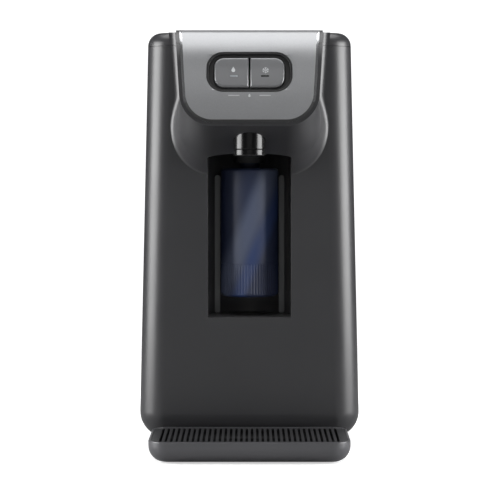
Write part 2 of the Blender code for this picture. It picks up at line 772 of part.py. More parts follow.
def button(side, name):
    """A push button with its stem, light guide and return spring."""
    piece = on_fascia(slab([button_outline(side)], BUTTON_BACK, BUTTON_FRONT))
    finish(piece, f"{name}_button", BUTTON, smooth=False)
    round_edges(piece, 0.7 * MM)
    x = side * VALVE_SPACING / 2
    join(piece, on_fascia(cylinder(STEM_RADIUS, (x, 0, STEM_END), (x, 0, BUTTON_BACK + MM), 20)))
    cut(piece, light_slot(side, 0.15 * MM, BUTTON_BACK + 4 * MM, 0))
    guide = light_slot(side, 0.0, BUTTON_BACK + 4.3 * MM, BUTTON_FRONT)
    finish(guide, f"{name}_light_guide", LIGHT, smooth=False)
    coil_length = BUTTON_BACK - BOARD_FRONT - BUTTON_TRAVEL - 2 * GAP - 2 * SPRING_WIRE
    coil = []
    for i in range(SPRING_TURNS * 8 + 1):
        turn = 2 * math.pi * i / 8
        depth = BUTTON_BACK - GAP - SPRING_WIRE - coil_length * i / (SPRING_TURNS * 8)
        coil.append((SPRING_RADIUS * math.cos(turn), SPRING_RADIUS * math.sin(turn), depth))
    finish(on_fascia(tube(coil, SPRING_WIRE, 1), (x, 0, 0)), f"{name}_button_spring", STEEL)


def button_board():
    """Circuit board behind the buttons, with holes that their stems pass through."""
    rim = rounded_outline(34 * MM, 16 * MM, 2 * MM, 2)
    low, high = BOARD_FRONT - BOARD_THICKNESS, BOARD_FRONT
    piece = finish(on_fascia(slab([rim], low, high)), "button_board", CIRCUIT, smooth=False)
    for side in (-1, 1):
        x = side * VALVE_SPACING / 2
        start, end = (x, 0, low - MM), (x, 0, high + MM)
        cut(piece, on_fascia(cylinder(STEM_RADIUS + PLAY, start, end, 20)))


# ---------------------------------------------------------------- valves and spout

def valve(side, name):
    """A tap valve behind a button, and the plunger that the button pushes."""
    x = side * VALVE_SPACING / 2
    bore = PLUNGER_RADIUS + PLAY
    end = VALVE_BACK - BARB_LENGTH
    body = [(0, VALVE_BORE_END), (bore, VALVE_BORE_END), (bore, VALVE_FRONT),
            (VALVE_RADIUS, VALVE_FRONT), (VALVE_RADIUS, VALVE_BACK), (BARB_RADIUS, VALVE_BACK),
            (BARB_RADIUS, end), (0, end)]
    piece = finish(on_fascia(turned(body, (x, 0, 0), steps=16)), f"{name}_valve", WHITE)
    top, foot = (x, -VALVE_RADIUS / 2, OUTLET_PLACE), (x, -OUTLET_DROP, OUTLET_PLACE)
    join(piece, on_fascia(cylinder(BARB_RADIUS, top, foot, 12)))
    rod = cylinder(PLUNGER_RADIUS, (x, 0, PLUNGER_END), (x, 0, STEM_END - GAP), 16)
    finish(on_fascia(rod), f"{name}_valve_plunger", STEEL)


def spout_manifold():
    """Block that both valves plug into from above and the nozzle from below."""
    post_x, post_y = POST_PLACE
    plate_half, plate_top = post_x + 6 * MM, MANIFOLD_FLOOR + 4 * MM
    low, high = (-plate_half, post_y - 12 * MM, MANIFOLD_FLOOR), (plate_half, post_y + 8 * MM, plate_top)
    piece = box(low, high)
    finish(piece, "spout_manifold", WHITE, smooth=False)
    block_half = VALVE_SPACING / 2 + 7 * MM
    block_front, block_back = NOZZLE_Y - 12 * MM, post_y + 7 * MM
    join(piece, box((-block_half, block_front, MANIFOLD_FLOOR), (block_half, block_back, MANIFOLD_TOP)))
    for side in (-1, 1):
        x = side * VALVE_SPACING / 2
        start, end = (x, 0, OUTLET_PLACE), (x, -OUTLET_DROP - PLAY, OUTLET_PLACE)
        cut(piece, on_fascia(cylinder(BARB_RADIUS + GAP, start, end, 16)))
    low = (0, NOZZLE_Y, MANIFOLD_FLOOR - MM)
    cut(piece, cylinder(7 * MM + GAP, low, (0, NOZZLE_Y, MANIFOLD_FLOOR + 8 * MM), 24))


def nozzle():
    """Spout: a body that plugs into the manifold and a tip below a thin groove."""
    channel, spigot = 4 * MM, 7 * MM
    shoulder = MANIFOLD_FLOOR - GAP
    body = [(channel, MANIFOLD_FLOOR + 7 * MM), (spigot, MANIFOLD_FLOOR + 7 * MM),
            (spigot, shoulder), (NOZZLE_RADIUS, shoulder), (NOZZLE_RADIUS, NOZZLE_SPLIT + GAP),
            (channel, NOZZLE_SPLIT + GAP)]
    place = (0, NOZZLE_Y, 0)
    finish(turned(body, place, steps=32, closed=True), "nozzle_body", BLACK)
    chamfer = 1 * MM
    tip = [(channel, NOZZLE_SPLIT), (NOZZLE_RADIUS, NOZZLE_SPLIT),
           (NOZZLE_RADIUS, NOZZLE_TIP_END + chamfer), (NOZZLE_RADIUS - chamfer, NOZZLE_TIP_END),
           (channel, NOZZLE_TIP_END)]
    finish(turned(tip, place, steps=32, closed=True), "nozzle_tip", BLACK)


# ---------------------------------------------------------------- filter

def niche_slab(radius, front, low, high):
    """A slab with a round back about the filter's axis and a flat front."""
    outline = [(radius, front), *arc((0, FILTER_Y), radius, 0, 180, 24), (-radius, front)]
    return slab([outline], low, high)


def filter_niche_liner():
    """Pocket behind the housing's opening, with a hole above for the filter's neck."""
    front = BODY_FRONT + WALL + GAP
    outer = niche_slab(NICHE_RADIUS + NICHE_WALL, front, NICHE_FLOOR - NICHE_WALL,
                       NICHE_CEILING + NICHE_WALL)
    piece = finish(outer, "filter_niche_liner", BLACK)
    cut(piece, niche_slab(NICHE_RADIUS, front - 5 * MM, NICHE_FLOOR, NICHE_CEILING))
    low, high = (0, FILTER_Y, NICHE_CEILING - MM), (0, FILTER_Y, NICHE_CEILING + 2 * NICHE_WALL)
    cut(piece, cylinder(CORE_RADIUS + PLAY, low, high))


def filter_unit():
    """Cartridge with its neck seal, the valve core that it turns, and the fixed head."""
    place = (0, FILTER_Y, 0)
    foot = NICHE_FLOOR + FILTER_LIFT
    groove_top, groove_foot = NECK_TOP - 3 * MM, NECK_TOP - 5.6 * MM
    groove = NECK_RADIUS - 1.4 * MM
    cartridge = [(0, NECK_TOP), (NECK_RADIUS - MM, NECK_TOP), (NECK_RADIUS, NECK_TOP - MM),
                 (NECK_RADIUS, groove_top), (groove, groove_top), (groove, groove_foot),
                 (NECK_RADIUS, groove_foot), (NECK_RADIUS, CARTRIDGE_TOP),
                 (FILTER_RADIUS - 3 * MM, CARTRIDGE_TOP),
                 *arc((FILTER_RADIUS - 3 * MM, CARTRIDGE_TOP - 3 * MM), 3 * MM, 60, 0, 2),
                 *arc((FILTER_RADIUS - 4 * MM, foot + 4 * MM), 4 * MM, 0, -90, 3), (0, foot)]
    finish(turned(cartridge, place, steps=28), "filter_cartridge", BLUE)
    ring = [(groove + 0.2 * MM, groove_top - 0.4 * MM), (SOCKET_RADIUS - 0.3 * MM, groove_top - 0.4 * MM),
            (SOCKET_RADIUS - 0.3 * MM, groove_foot + 0.4 * MM), (groove + 0.2 * MM, groove_foot + 0.4 * MM)]
    finish(turned(ring, place, closed=True), "filter_neck_seal", RUBBER)
    core_top = NICHE_CEILING + NICHE_WALL + 8 * MM
    socket_end = NECK_TOP + PLAY
    core = [(0, core_top), (CORE_RADIUS - 3 * MM, core_top), (CORE_RADIUS - 3 * MM, core_top - 8 * MM),
            (CORE_RADIUS, core_top - 8 * MM), (CORE_RADIUS, CORE_FOOT), (SOCKET_RADIUS, CORE_FOOT),
            (SOCKET_RADIUS, socket_end), (0, socket_end)]
    finish(turned(core, place), "filter_valve_core", MATTE)
    floor = NICHE_CEILING + NICHE_WALL + GAP
    top = floor + HEAD_CAP_HEIGHT
    bore = CORE_RADIUS - 3 * MM + PLAY
    cap = [(0, top), (HEAD_CAP_RADIUS, top), (HEAD_CAP_RADIUS, floor), (bore, floor),
           (bore, core_top + PLAY), (0, core_top + PLAY)]
    piece = finish(turned(cap, place), "filter_head", WHITE)
    for x in FILTER_PORTS:
        join(piece, cylinder(BARB_RADIUS, (x, FILTER_Y, top - MM), (x, FILTER_Y, top + 8 * MM), 12))


# ---------------------------------------------------------------- cold tank and cooler

def cold_tank():
    """Open steel tank with a drain stub, its seal and its lid with two ports."""
    place = (0, TANK_Y, 0)
    inside = TANK_RADIUS - TANK_WALL
    stub, bore = 4 * MM, 2.5 * MM
    rim = TANK_RIM
    foot = TANK_FLOOR - FOAM - 8 * MM
    tank = [(inside, TANK_TOP), (rim, TANK_TOP), (rim, TANK_TOP - 1.5 * MM),
            (TANK_RADIUS, TANK_TOP - 1.5 * MM), (TANK_RADIUS, TANK_FLOOR), (stub, TANK_FLOOR),
            (stub, foot), (bore, foot), (bore, TANK_FLOOR + TANK_WALL), (inside, TANK_FLOOR + TANK_WALL)]
    finish(turned(tank, place, steps=28, closed=True), "cold_tank", STEEL)
    seal_low, seal_high = TANK_TOP + GAP, TANK_TOP + 2 * MM
    seal = [(inside, seal_high), (rim, seal_high), (rim, seal_low), (inside, seal_low)]
    finish(turned(seal, place, closed=True), "tank_seal", RUBBER)
    low, high = seal_high + GAP, seal_high + GAP + LID_FLANGE
    lid = finish(turned([(0, high), (rim, high), (rim, low), (0, low)], place), "tank_lid", WHITE)
    for x in TANK_PORTS:
        join(lid, cylinder(BARB_RADIUS, (x, TANK_Y, high - MM), (x, TANK_Y, TANK_PORT_TOP), 12))


def tank_insulation():
    """Two foam halves that close round the tank."""
    place = (0, TANK_Y, 0)
    outside = FOAM_RADIUS
    inside = TANK_RIM + PLAY
    roof = FOAM_TOP - 6 * MM
    floor = TANK_FLOOR - PLAY
    hole = 4 * MM + PLAY
    form = [(hole, FOAM_TOP), (outside, FOAM_TOP), (outside, FOAM_FLOOR), (hole, FOAM_FLOOR),
            (hole, floor), (TANK_RADIUS + GAP, floor), (TANK_RADIUS + GAP, TANK_TOP - 2 * MM),
            (inside, TANK_TOP - 2 * MM), (inside, roof), (hole, roof)]
    for name, low, high in (("front", -FAR, TANK_Y - GAP / 2), ("rear", TANK_Y + GAP / 2, FAR)):
        piece = turned(form, place, steps=28, closed=True)
        finish(piece, f"tank_insulation_{name}", FOAM_WHITE)
        combine(piece, "INTERSECT", as_cutter(box((-FAR, low, 0), (FAR, high, FAR)), f"{name}_half"))
        for x in TANK_PORTS:
            start, end = (x, TANK_Y, roof - MM), (x, TANK_Y, FOAM_TOP + MM)
            cut(piece, cylinder(BARB_RADIUS + PLAY, start, end, 12))
        if name == "rear":
            side = COOLER_SIDE / 2 + GAP
            low_corner = (-side, TANK_Y + TANK_RADIUS / 2, COOLER_HEIGHT - side)
            cut(piece, box(low_corner, (side, FAR, COOLER_HEIGHT + side)))


def tank_cradle():
    """Stand that carries the insulated tank over the power supply."""
    top = FOAM_FLOOR - GAP
    reach = 25 * MM
    leg = SUPPLY_SIZE[0] / 2 + 6 * MM
    low, high = (-leg - 3 * MM, TANK_Y - reach, top - 4 * MM), (leg + 3 * MM, TANK_Y + reach, top)
    piece = finish(box(low, high), "tank_cradle", WHITE, smooth=False)
    floor = BODY_BOTTOM + PLATE_THICKNESS + GAP
    for side in (-1, 1):
        edges = sorted((side * leg, side * (leg + 3 * MM)))
        join(piece, box((edges[0], TANK_Y - reach, floor), (edges[1], TANK_Y + reach, top - MM)))
    cut(piece, cylinder(4 * MM + PLAY, (0, TANK_Y, top - 6 * MM), (0, TANK_Y, top + MM), 20))


def cooler():
    """Cold block on the tank, thermoelectric module, heat sink and fan."""
    half = COOLER_SIDE / 2
    z = COOLER_HEIGHT
    saddle = TANK_Y + TANK_RADIUS - 6 * MM
    piece = box((-half, saddle, z - half), (half, COLD_BLOCK_BACK, z + half))
    finish(piece, "cold_block", ALUMINIUM, smooth=False)
    low, high = (0, TANK_Y, z - 2 * half), (0, TANK_Y, z + 2 * half)
    cut(piece, cylinder(TANK_RADIUS + GAP, low, high, 40))
    hot = COLD_BLOCK_BACK + GAP + MODULE_THICKNESS
    module = box((-half, COLD_BLOCK_BACK + GAP, z - half), (half, hot, z + half))
    finish(module, "thermoelectric_module", CERAMIC, smooth=False)
    sink = slab([fin_outline()], z - SINK_SIDE / 2, z + SINK_SIDE / 2)
    sink.data.transform(Matrix.Translation((0, SINK_FRONT, 0)))
    finish(sink, "heat_sink", ALUMINIUM, smooth=False)
    fan(FAN_FRONT)


def fin_outline():
    """Comb outline of the heat sink seen from above, with its base on the X axis."""
    pitch = (SINK_SIDE - FIN_THICKNESS) / (FIN_COUNT - 1)
    half = SINK_SIDE / 2
    outline = [(-half, 0), (half, 0)]
    for i in reversed(range(FIN_COUNT)):
        left = -half + i * pitch
        right = left + FIN_THICKNESS
        if i < FIN_COUNT - 1:
            outline.append((right, SINK_BASE))
        outline += [(right, SINK_DEPTH), (left, SINK_DEPTH)]
        if i > 0:
            outline.append((left, SINK_BASE))
    return outline


def fan(front):
    """Square frame with a motor mount on three arms, and the rotor that spins in it."""
    z, half = COOLER_HEIGHT, FAN_SIDE / 2
    back = front + FAN_DEPTH
    frame = finish(box((-half, front, z - half), (half, back, z + half)), "fan_frame", MATTE)
    cut(frame, cylinder(FAN_BORE, (0, front - MM, z), (0, back + MM, z), 40))
    arm_front = back - 3 * MM
    join(frame, cylinder(FAN_HUB, (0, arm_front, z), (0, back, z), 24))
    for side in (-1, 1):
        arm = box((-FAN_BORE - 2 * MM, arm_front, -2 * MM), (FAN_BORE + 2 * MM, back, 2 * MM))
        arm.matrix_world = (Matrix.Translation((0, 0, z)) @ Matrix.Rotation(side * math.pi / 4, 4, "Y")
                            @ arm.matrix_world)
        join(frame, arm)
    rotor_back = arm_front - PLAY
    rotor = cylinder(FAN_HUB, (0, front + 2 * MM, z), (0, rotor_back, z), 24)
    finish(rotor, "fan_rotor", MATTE)
    for i in range(BLADE_COUNT):
        blade = box((FAN_HUB - 3 * MM, -0.8 * MM, -9 * MM), (FAN_BORE - 1.5 * MM, 0.8 * MM, 9 * MM))
        middle = (front + rotor_back) / 2 + MM
        blade.matrix_world = (Matrix.Translation((0, middle, z))
                              @ Matrix.Rotation(2 * math.pi * i / BLADE_COUNT, 4, "Y")
                              @ Matrix.Rotation(math.radians(40), 4, "X") @ blade.matrix_world)
        join(rotor, blade)


# ---------------------------------------------------------------- base, power and connections

def base_plate():
    """Floor of the body, with guides for the drip tray's rails."""
    low, high = BODY_BOTTOM, BODY_BOTTOM + PLATE_THICKNESS
    rim = [(x, y) for x, y, _ in body_ring(high, UNDERSIDE_INSET + GAP, 2)]
    holes = [arc((side * x, y), FOOT_STUB + GAP, 0, 330, 11) for x, y in FOOT_PLACES for side in (-1, 1)]
    piece = finish(slab([rim, *holes], low, high), "base_plate", MATTE, smooth=False)
    guides = []
    for side in (-1, 1):
        for edge in (-1, 1):
            web = side * RAIL_X + edge * (RAIL_WIDTH / 2 + PLAY)
            web_span = sorted((web, web + edge * 2.5 * MM))
            lip_span = sorted((web - edge * 3 * MM, web + edge * 2.5 * MM))
            front, back = BODY_FRONT + 35 * MM, RAIL_END
            guides.append(((web_span[0], front, RAIL_FOOT - GAP - MM), (web_span[1], back, low + MM)))
            guides.append(((lip_span[0], front, RAIL_FOOT - GAP - 1.4 * MM),
                           (lip_span[1], back, RAIL_FOOT - GAP)))
    for low_corner, high_corner in guides:
        join(piece, box(low_corner, high_corner))


def feet():
    """Four rubber feet with stubs that plug into the base plate."""
    top = BODY_BOTTOM - GAP
    profile = [(0, BODY_BOTTOM + PLATE_THICKNESS), (FOOT_STUB, BODY_BOTTOM + PLATE_THICKNESS),
               (FOOT_STUB, top), (FOOT_RADIUS, top), (FOOT_RADIUS - MM, 0), (0, 0)]
    for (x, y), row in zip(FOOT_PLACES, ("front", "rear")):
        for side, word in ((-1, "left"), (1, "right")):
            finish(turned(profile, (side * x, y, 0), steps=24), f"foot_{row}_{word}", RUBBER)


def electronics():
    """Power supply on the base plate and the control board on top of it."""
    width, depth, height = SUPPLY_SIZE
    floor = BODY_BOTTOM + PLATE_THICKNESS + GAP
    low = (-width / 2, TANK_Y - depth / 2, floor)
    high = (width / 2, TANK_Y + depth / 2, floor + height)
    round_edges(finish(box(low, high), "power_supply", MATTE, smooth=False), 1.5 * MM)
    board_floor = floor + height + GAP
    inset = 4 * MM
    board_top = board_floor + BOARD_THICKNESS
    board = box((low[0] + inset, low[1] + inset, board_floor), (high[0] - inset, high[1] - inset, board_top))
    finish(board, "control_board", CIRCUIT, smooth=False)
    for x, y, side, rise in ((-20, -15, 12, 9), (12, -18, 9, 7), (22, 16, 14, 5), (-12, 16, 8, 6)):
        corner = Vector((x * MM, TANK_Y + y * MM, board_top - 0.5 * MM))
        join(board, box(corner, corner + Vector((side * MM, side * MM, rise * MM))))


def connections():
    """Water inlet with its release collet, drain with its plug, and the cord's gland."""
    back, end = BODY_BACK, BODY_BACK + FITTING_DEPTH
    inside = back - 15 * MM
    x, z = INLET_PLACE
    rear = (0, -1, 0)
    bore, socket, collet = 3 * MM, 5.3 * MM, 5 * MM
    collar_end = end - 1.2 * MM - COLLET_TRAVEL - GAP
    inlet = [(socket, -collar_end), (socket, -back), (bore, -back), (bore, -inside), (7 * MM, -inside),
             (7 * MM, -back - GAP), (10 * MM, -back - GAP), (10 * MM, -back - 2 * MM),
             (8 * MM, -back - 2 * MM), (8 * MM, -collar_end)]
    finish(turned(inlet, (x, 0, z), rear, 16, closed=True), "inlet_fitting", WHITE)
    ring = [(bore, -end), (6.5 * MM, -end), (6.5 * MM, -end + 1.2 * MM), (collet, -end + 1.2 * MM),
            (collet, -back - 2 * MM), (bore, -back - 2 * MM)]
    finish(turned(ring, (x, 0, z), rear, 16, closed=True), "inlet_collet", MATTE)
    x, z = DRAIN_PLACE
    lip = back + 4 * MM
    drain = [(4 * MM, -lip), (4 * MM, -back), (bore, -back), (bore, -inside), (7 * MM, -inside),
             (7 * MM, -back - GAP), (9 * MM, -back - GAP), (9 * MM, -lip)]
    finish(turned(drain, (x, 0, z), rear, 16, closed=True), "drain_fitting", WHITE)
    plug = [(0, -back - MM), (3.5 * MM, -back - MM), (3.5 * MM, -lip - GAP), (7 * MM, -lip - GAP),
            (7 * MM, -end), (0, -end)]
    finish(turned(plug, (x, 0, z), rear, 16), "drain_plug", RUBBER)
    x, z = CORD_PLACE
    gland = [(3.5 * MM, -back - 5 * MM), (8 * MM, -back - 5 * MM), (9 * MM, -back - GAP),
             (7 * MM, -back - GAP), (7 * MM, -back + 6 * MM), (3.5 * MM, -back + 6 * MM)]
    finish(turned(gland, (x, 0, z), rear, 16, closed=True), "cord_gland", RUBBER)


def tubes():
    """Food-grade tubes between the connections, the filter, the tank and the valves."""
    natural, to_tank, inlet = FILTER_PORTS
    port = FILTER_PORT_TOP + GAP
    tank = TANK_PORT_TOP + GAP
    drain = TANK_FLOOR - FOAM - 8 * MM - GAP
    valve_x = VALVE_SPACING / 2
    end = BUTTON_FRAME @ Vector((0, 0, VALVE_BACK - BARB_LENGTH - GAP))
    before = BUTTON_FRAME @ Vector((0, 0, VALVE_BACK - BARB_LENGTH - 14 * MM))
    rear = BODY_BACK - 15 * MM - GAP
    routes = {
        "tube_natural": [(natural, FILTER_Y, port), (natural, FILTER_Y, port + 6 * MM),
                         (-valve_x, (FILTER_Y + before.y) / 2, before.z + 3 * MM),
                         (-valve_x, before.y, before.z), (-valve_x, end.y, end.z)],
        "tube_cold": [(TANK_PORTS[1], TANK_Y, tank), (TANK_PORTS[1], TANK_Y, tank + 10 * MM),
                      (14 * MM, 20 * MM, tank + 22 * MM), (valve_x, -40 * MM, tank + 10 * MM),
                      (valve_x, before.y, before.z), (valve_x, end.y, end.z)],
        "tube_to_tank": [(to_tank, FILTER_Y, port), (to_tank, FILTER_Y, port + 10 * MM),
                         (-6 * MM, -10 * MM, port + 24 * MM), (-11 * MM, 40 * MM, tank + 15 * MM),
                         (TANK_PORTS[0], TANK_Y, tank + 8 * MM), (TANK_PORTS[0], TANK_Y, tank)],
        "tube_inlet": [(INLET_PLACE[0], rear, INLET_PLACE[1]),
                       (INLET_PLACE[0], rear - 10 * MM, INLET_PLACE[1]),
                       (66 * MM, 122 * MM, 84 * MM), (72 * MM, 100 * MM, 150 * MM),
                       (74 * MM, 60 * MM, 240 * MM), (62 * MM, 5 * MM, 295 * MM),
                       (32 * MM, -32 * MM, port + 8 * MM), (inlet, FILTER_Y, port + 7 * MM),
                       (inlet, FILTER_Y, port)],
        "tube_drain": [(0, TANK_Y, drain), (0, TANK_Y, drain - 7 * MM),
                       (-25 * MM, 100 * MM, 64 * MM), (DRAIN_PLACE[0], rear - 10 * MM, DRAIN_PLACE[1]),
                       (DRAIN_PLACE[0], rear, DRAIN_PLACE[1])],
    }
    for name, route in routes.items():
        finish(tube(smooth_route(route, 13 * MM), TUBE_RADIUS), name, TUBING)


# ---------------------------------------------------------------- drip tray

def tray_ring(z, inset):
    radius = max(TRAY_CORNER - inset, SMALLEST_CORNER)
    return plan_ring(TRAY_HALF - inset, TRAY_FRONT + inset, TRAY_BACK - inset, radius, z)


def tray_levels(skin, widest):
    """Rings of the tray's rounded lower edge; skin is how far inside the outer face."""
    radius = TRAY_ROUNDING - skin
    start = math.asin((TRAY_ROUNDING - widest) / radius)
    rings = []
    for i in range(5):
        turn = start + (math.pi / 2 - start) * i / 4
        z = TRAY_BOTTOM + TRAY_ROUNDING - radius * math.cos(turn)
        rings.append(tray_ring(z, TRAY_ROUNDING - radius * math.sin(turn)))
    return rings


def drip_tray():
    """Shallow tray on two rails that slide under the body."""
    ledge_height = TRAY_TOP - GRILLE_THICKNESS - GAP
    outer = [*tray_levels(0.0, 11 * MM), tray_ring(TRAY_TOP, 0.0)]
    piece = finish(loft(outer), "drip_tray", SHELL)
    for side in (-1, 1):
        x = side * RAIL_X
        low = (x - RAIL_WIDTH / 2, TRAY_BACK - 12 * MM, RAIL_FOOT)
        join(piece, box(low, (x + RAIL_WIDTH / 2, RAIL_END, RAIL_TOP)))
    skin = TRAY_WALL + LEDGE
    basin = [*tray_levels(skin, 13 * MM), tray_ring(ledge_height, skin),
             tray_ring(ledge_height, TRAY_WALL), tray_ring(TRAY_TOP + MM, TRAY_WALL)]
    cut(piece, loft(basin))


def drip_grille():
    """Slotted plate that lies on the tray's ledge."""
    inset = TRAY_WALL + GAP
    low, high = TRAY_TOP - GRILLE_THICKNESS, TRAY_TOP - GAP
    margin = 9 * MM
    front, back = TRAY_FRONT + margin, TRAY_BACK - margin
    outlines = [[(x, y) for x, y, _ in tray_ring(low, inset)]]
    for i in range(SLOT_COUNT):
        middle = (i - (SLOT_COUNT - 1) / 2) * SLOT_PITCH
        left, right = middle - SLOT_WIDTH / 2, middle + SLOT_WIDTH / 2
        outlines.append([(left, front), (right, front), (right, back), (left, back)])
    finish(slab(outlines, low, high), "drip_grille", MATTE)


# ---------------------------------------------------------------- assembly

shell = shell_mesh()
front_housing(shell)
rear_cover(shell)
top_cover(shell)
rear_screws()
control_fascia()
button_bezel()
button(-1, "natural")
button(1, "cold")
button_board()
valve(-1, "natural")
valve(1, "cold")
spout_manifold()
nozzle()
filter_niche_liner()
filter_unit()
cold_tank()
tank_insulation()
tank_cradle()
cooler()
base_plate()
feet()
electronics()
connections()
tubes()
drip_tray()
drip_grille()
bpy.data.meshes.remove(shell)
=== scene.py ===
import math

import bmesh
import bpy
from mathutils import Matrix, Vector


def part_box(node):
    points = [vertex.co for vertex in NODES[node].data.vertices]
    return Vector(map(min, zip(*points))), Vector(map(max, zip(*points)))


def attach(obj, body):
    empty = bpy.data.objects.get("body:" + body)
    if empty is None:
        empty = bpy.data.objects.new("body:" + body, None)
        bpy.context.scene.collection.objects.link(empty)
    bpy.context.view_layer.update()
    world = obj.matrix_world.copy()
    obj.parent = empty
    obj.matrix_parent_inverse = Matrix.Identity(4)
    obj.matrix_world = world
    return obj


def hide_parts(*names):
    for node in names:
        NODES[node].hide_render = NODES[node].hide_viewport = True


# Looks of the countertop water purifier, built round its CAD frame. Metres, +Z up, front towards -Y.

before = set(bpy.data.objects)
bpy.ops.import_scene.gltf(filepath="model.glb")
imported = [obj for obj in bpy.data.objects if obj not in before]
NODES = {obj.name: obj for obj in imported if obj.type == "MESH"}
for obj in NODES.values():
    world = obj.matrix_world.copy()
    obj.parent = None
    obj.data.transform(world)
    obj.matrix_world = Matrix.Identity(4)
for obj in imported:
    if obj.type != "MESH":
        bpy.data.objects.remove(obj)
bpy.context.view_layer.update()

MM = 0.001

# ---------------------------------------------------------------- places read from the frame

GAP = 0.3 * MM
WALL = 2.5 * MM
BODY_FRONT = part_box("filter_niche_liner")[0].y - WALL - GAP
BODY_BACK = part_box("rear_cover")[1].y
BODY_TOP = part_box("top_cover")[1].z
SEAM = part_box("front_housing")[1].z
REAR_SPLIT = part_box("rear_cover")[0].y - GAP
FASCIA_LOW, FASCIA_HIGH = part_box("control_fascia")
FASCIA_FOOT = FASCIA_LOW.z

# Shapes of the shell, as the moulds have them
FOOT_HEIGHT = 8 * MM
HALF_FOOT, HALF_TOP = 103.5 * MM, 95.3 * MM
CORNER, SMALLEST_CORNER = 24 * MM, 4 * MM
FOOT_ROUNDING, CROWN_ROUNDING = 25 * MM, 12 * MM
UNDERSIDE_INSET = 20 * MM
HEAD_REACH, HEAD_SWEEP = 78 * MM, 57 * MM
HEAD_CURVE = BODY_TOP - FASCIA_FOOT + 5 * MM
FASCIA_HALF, FASCIA_HALF_TOP, FASCIA_CORNER = 60 * MM, 64 * MM, 27 * MM
FASCIA_THICKNESS = 2.5 * MM
CORNER_CENTRE = FASCIA_FOOT + FASCIA_CORNER
FASCIA_SLOPE = (FASCIA_HALF_TOP - FASCIA_HALF) / (BODY_TOP - CORNER_CENTRE)
HEAD_BAND, HEAD_FILLET = 3.2 * MM, 8 * MM
HEAD_SLOPE, SLOPE_START = 46 * MM, 0.9      # height under the head, and where the slope leaves the body
HEAD_TOP = FASCIA_HIGH.z


# ---------------------------------------------------------------- materials

def linear(code):
    """A hex sRGB colour as linear red, green, blue and alpha."""
    parts = [int(code[i:i + 2], 16) / 255 for i in (1, 3, 5)]
    turned_linear = [c / 12.92 if c <= 0.04045 else ((c + 0.055) / 1.055) ** 2.4 for c in parts]
    return (*turned_linear, 1.0)


def add(tree, kind, inputs=None, **settings):
    """Add a node, give it its settings, and fill or link its inputs."""
    made = tree.nodes.new(kind)
    for name, value in settings.items():
        setattr(made, name, value)
    for name, value in (inputs or {}).items():
        if isinstance(value, bpy.types.NodeSocket):
            tree.links.new(value, made.inputs[name])
        else:
            made.inputs[name].default_value = value
    return made


def new_material(name, **constants):
    """An empty Principled material; constants are set on the shader's own sockets."""
    made = bpy.data.materials.new(name)
    made.use_nodes = True
    shader = made.node_tree.nodes["Principled BSDF"]
    for socket, value in constants.items():
        shader.inputs[socket.replace("_", " ")].default_value = value
    return made, made.node_tree, shader


def uneven_finish(tree, shader, colours, roughness, patch, grain, depth):
    """Colour and roughness that wander over patches, and a fine grain in relief.

    colours and roughness are pairs; patch, grain and depth are real sizes.
    """
    place = add(tree, "ShaderNodeTexCoord").outputs["Object"]
    wander = add(tree, "ShaderNodeTexNoise", {"Vector": place, "Scale": 1 / patch, "Detail": 3.0})
    mixed = add(tree, "ShaderNodeMix", {"Factor": wander.outputs["Fac"], 6: linear(colours[0]),
                                        7: linear(colours[1])}, data_type="RGBA")
    tree.links.new(mixed.outputs[2], shader.inputs["Base Color"])
    spread = add(tree, "ShaderNodeMapRange", {"Value": wander.outputs["Fac"], "From Min": 0.3,
                                              "From Max": 0.7, "To Min": roughness[0],
                                              "To Max": roughness[1]})
    tree.links.new(spread.outputs["Result"], shader.inputs["Roughness"])
    fine = add(tree, "ShaderNodeTexNoise", {"Vector": place, "Scale": 1 / grain, "Detail": 2.0})
    relief = add(tree, "ShaderNodeBump", {"Height": fine.outputs["Fac"], "Distance": depth})
    tree.links.new(relief.outputs["Normal"], shader.inputs["Normal"])
    return place, mixed, relief


def finished(name, colours, roughness, patch, grain, depth, **constants):
    """A material that is an uneven finish and nothing more."""
    made, tree, shader = new_material(name, **constants)
    uneven_finish(tree, shader, colours, roughness, patch, grain, depth)
    return made


def graphite_abs():
    """Injection-moulded graphite ABS from a finely blasted mould: satin, soft broad highlights."""
    made, tree, shader = new_material("graphite_abs", IOR=1.53)
    # A blasted mould's grain is about 0.1 mm, drawn at 0.6 mm so that it shows.
    uneven_finish(tree, shader, ("#2B2B2D", "#303032"), (0.34, 0.38), 60 * MM, 0.6 * MM, 0.008 * MM)
    return made


def tray_abs_painted_light():
    """The same ABS from a smoother mould, its colour painted a shade paler: painted light, for the light
    the tray's rim catches.
    """
    return finished("tray_abs_painted_light", ("#48484B", "#4E4E51"), (0.28, 0.32), 60 * MM, 0.6 * MM, 0.005 * MM,
                    IOR=1.53)


def silver_lacquer():
    """ABS sprayed with silver-grey lacquer: fine aluminium flakes under a satin top coat."""
    made, tree, shader = new_material("silver_lacquer", IOR=1.5, Metallic=0.55, Coat_Weight=0.25,
                                      Coat_Roughness=0.2)
    place, mixed, _ = uneven_finish(tree, shader, ("#8B8C8E", "#919294"), (0.36, 0.4), 40 * MM,
                                    0.5 * MM, 0.004 * MM)
    # Flakes are about 0.03 mm across, drawn at 0.5 mm so that they show.
    flakes = add(tree, "ShaderNodeTexVoronoi", {"Vector": place, "Scale": 1 / (0.5 * MM)})
    bright = add(tree, "ShaderNodeMapRange", {"Value": flakes.outputs["Color"], "To Min": 0.94,
                                              "To Max": 1.06})
    tint = add(tree, "ShaderNodeMix", {"Factor": 1.0, 6: mixed.outputs[2], 7: bright.outputs["Result"]},
               data_type="RGBA", blend_type="MULTIPLY")
    tree.links.new(tint.outputs[2], shader.inputs["Base Color"])
    return made


def polished_lacquer_painted_highlight():
    """The same silver lacquer, polished along the fascia's chamfer: nearly a mirror, its paler colour a
    painted highlight.
    """
    return finished("polished_lacquer_painted_highlight", ("#A6A7A9", "#ACADAF"), (0.12, 0.16), 40 * MM, 1 * MM, 0.001 * MM,
                    Metallic=0.85)


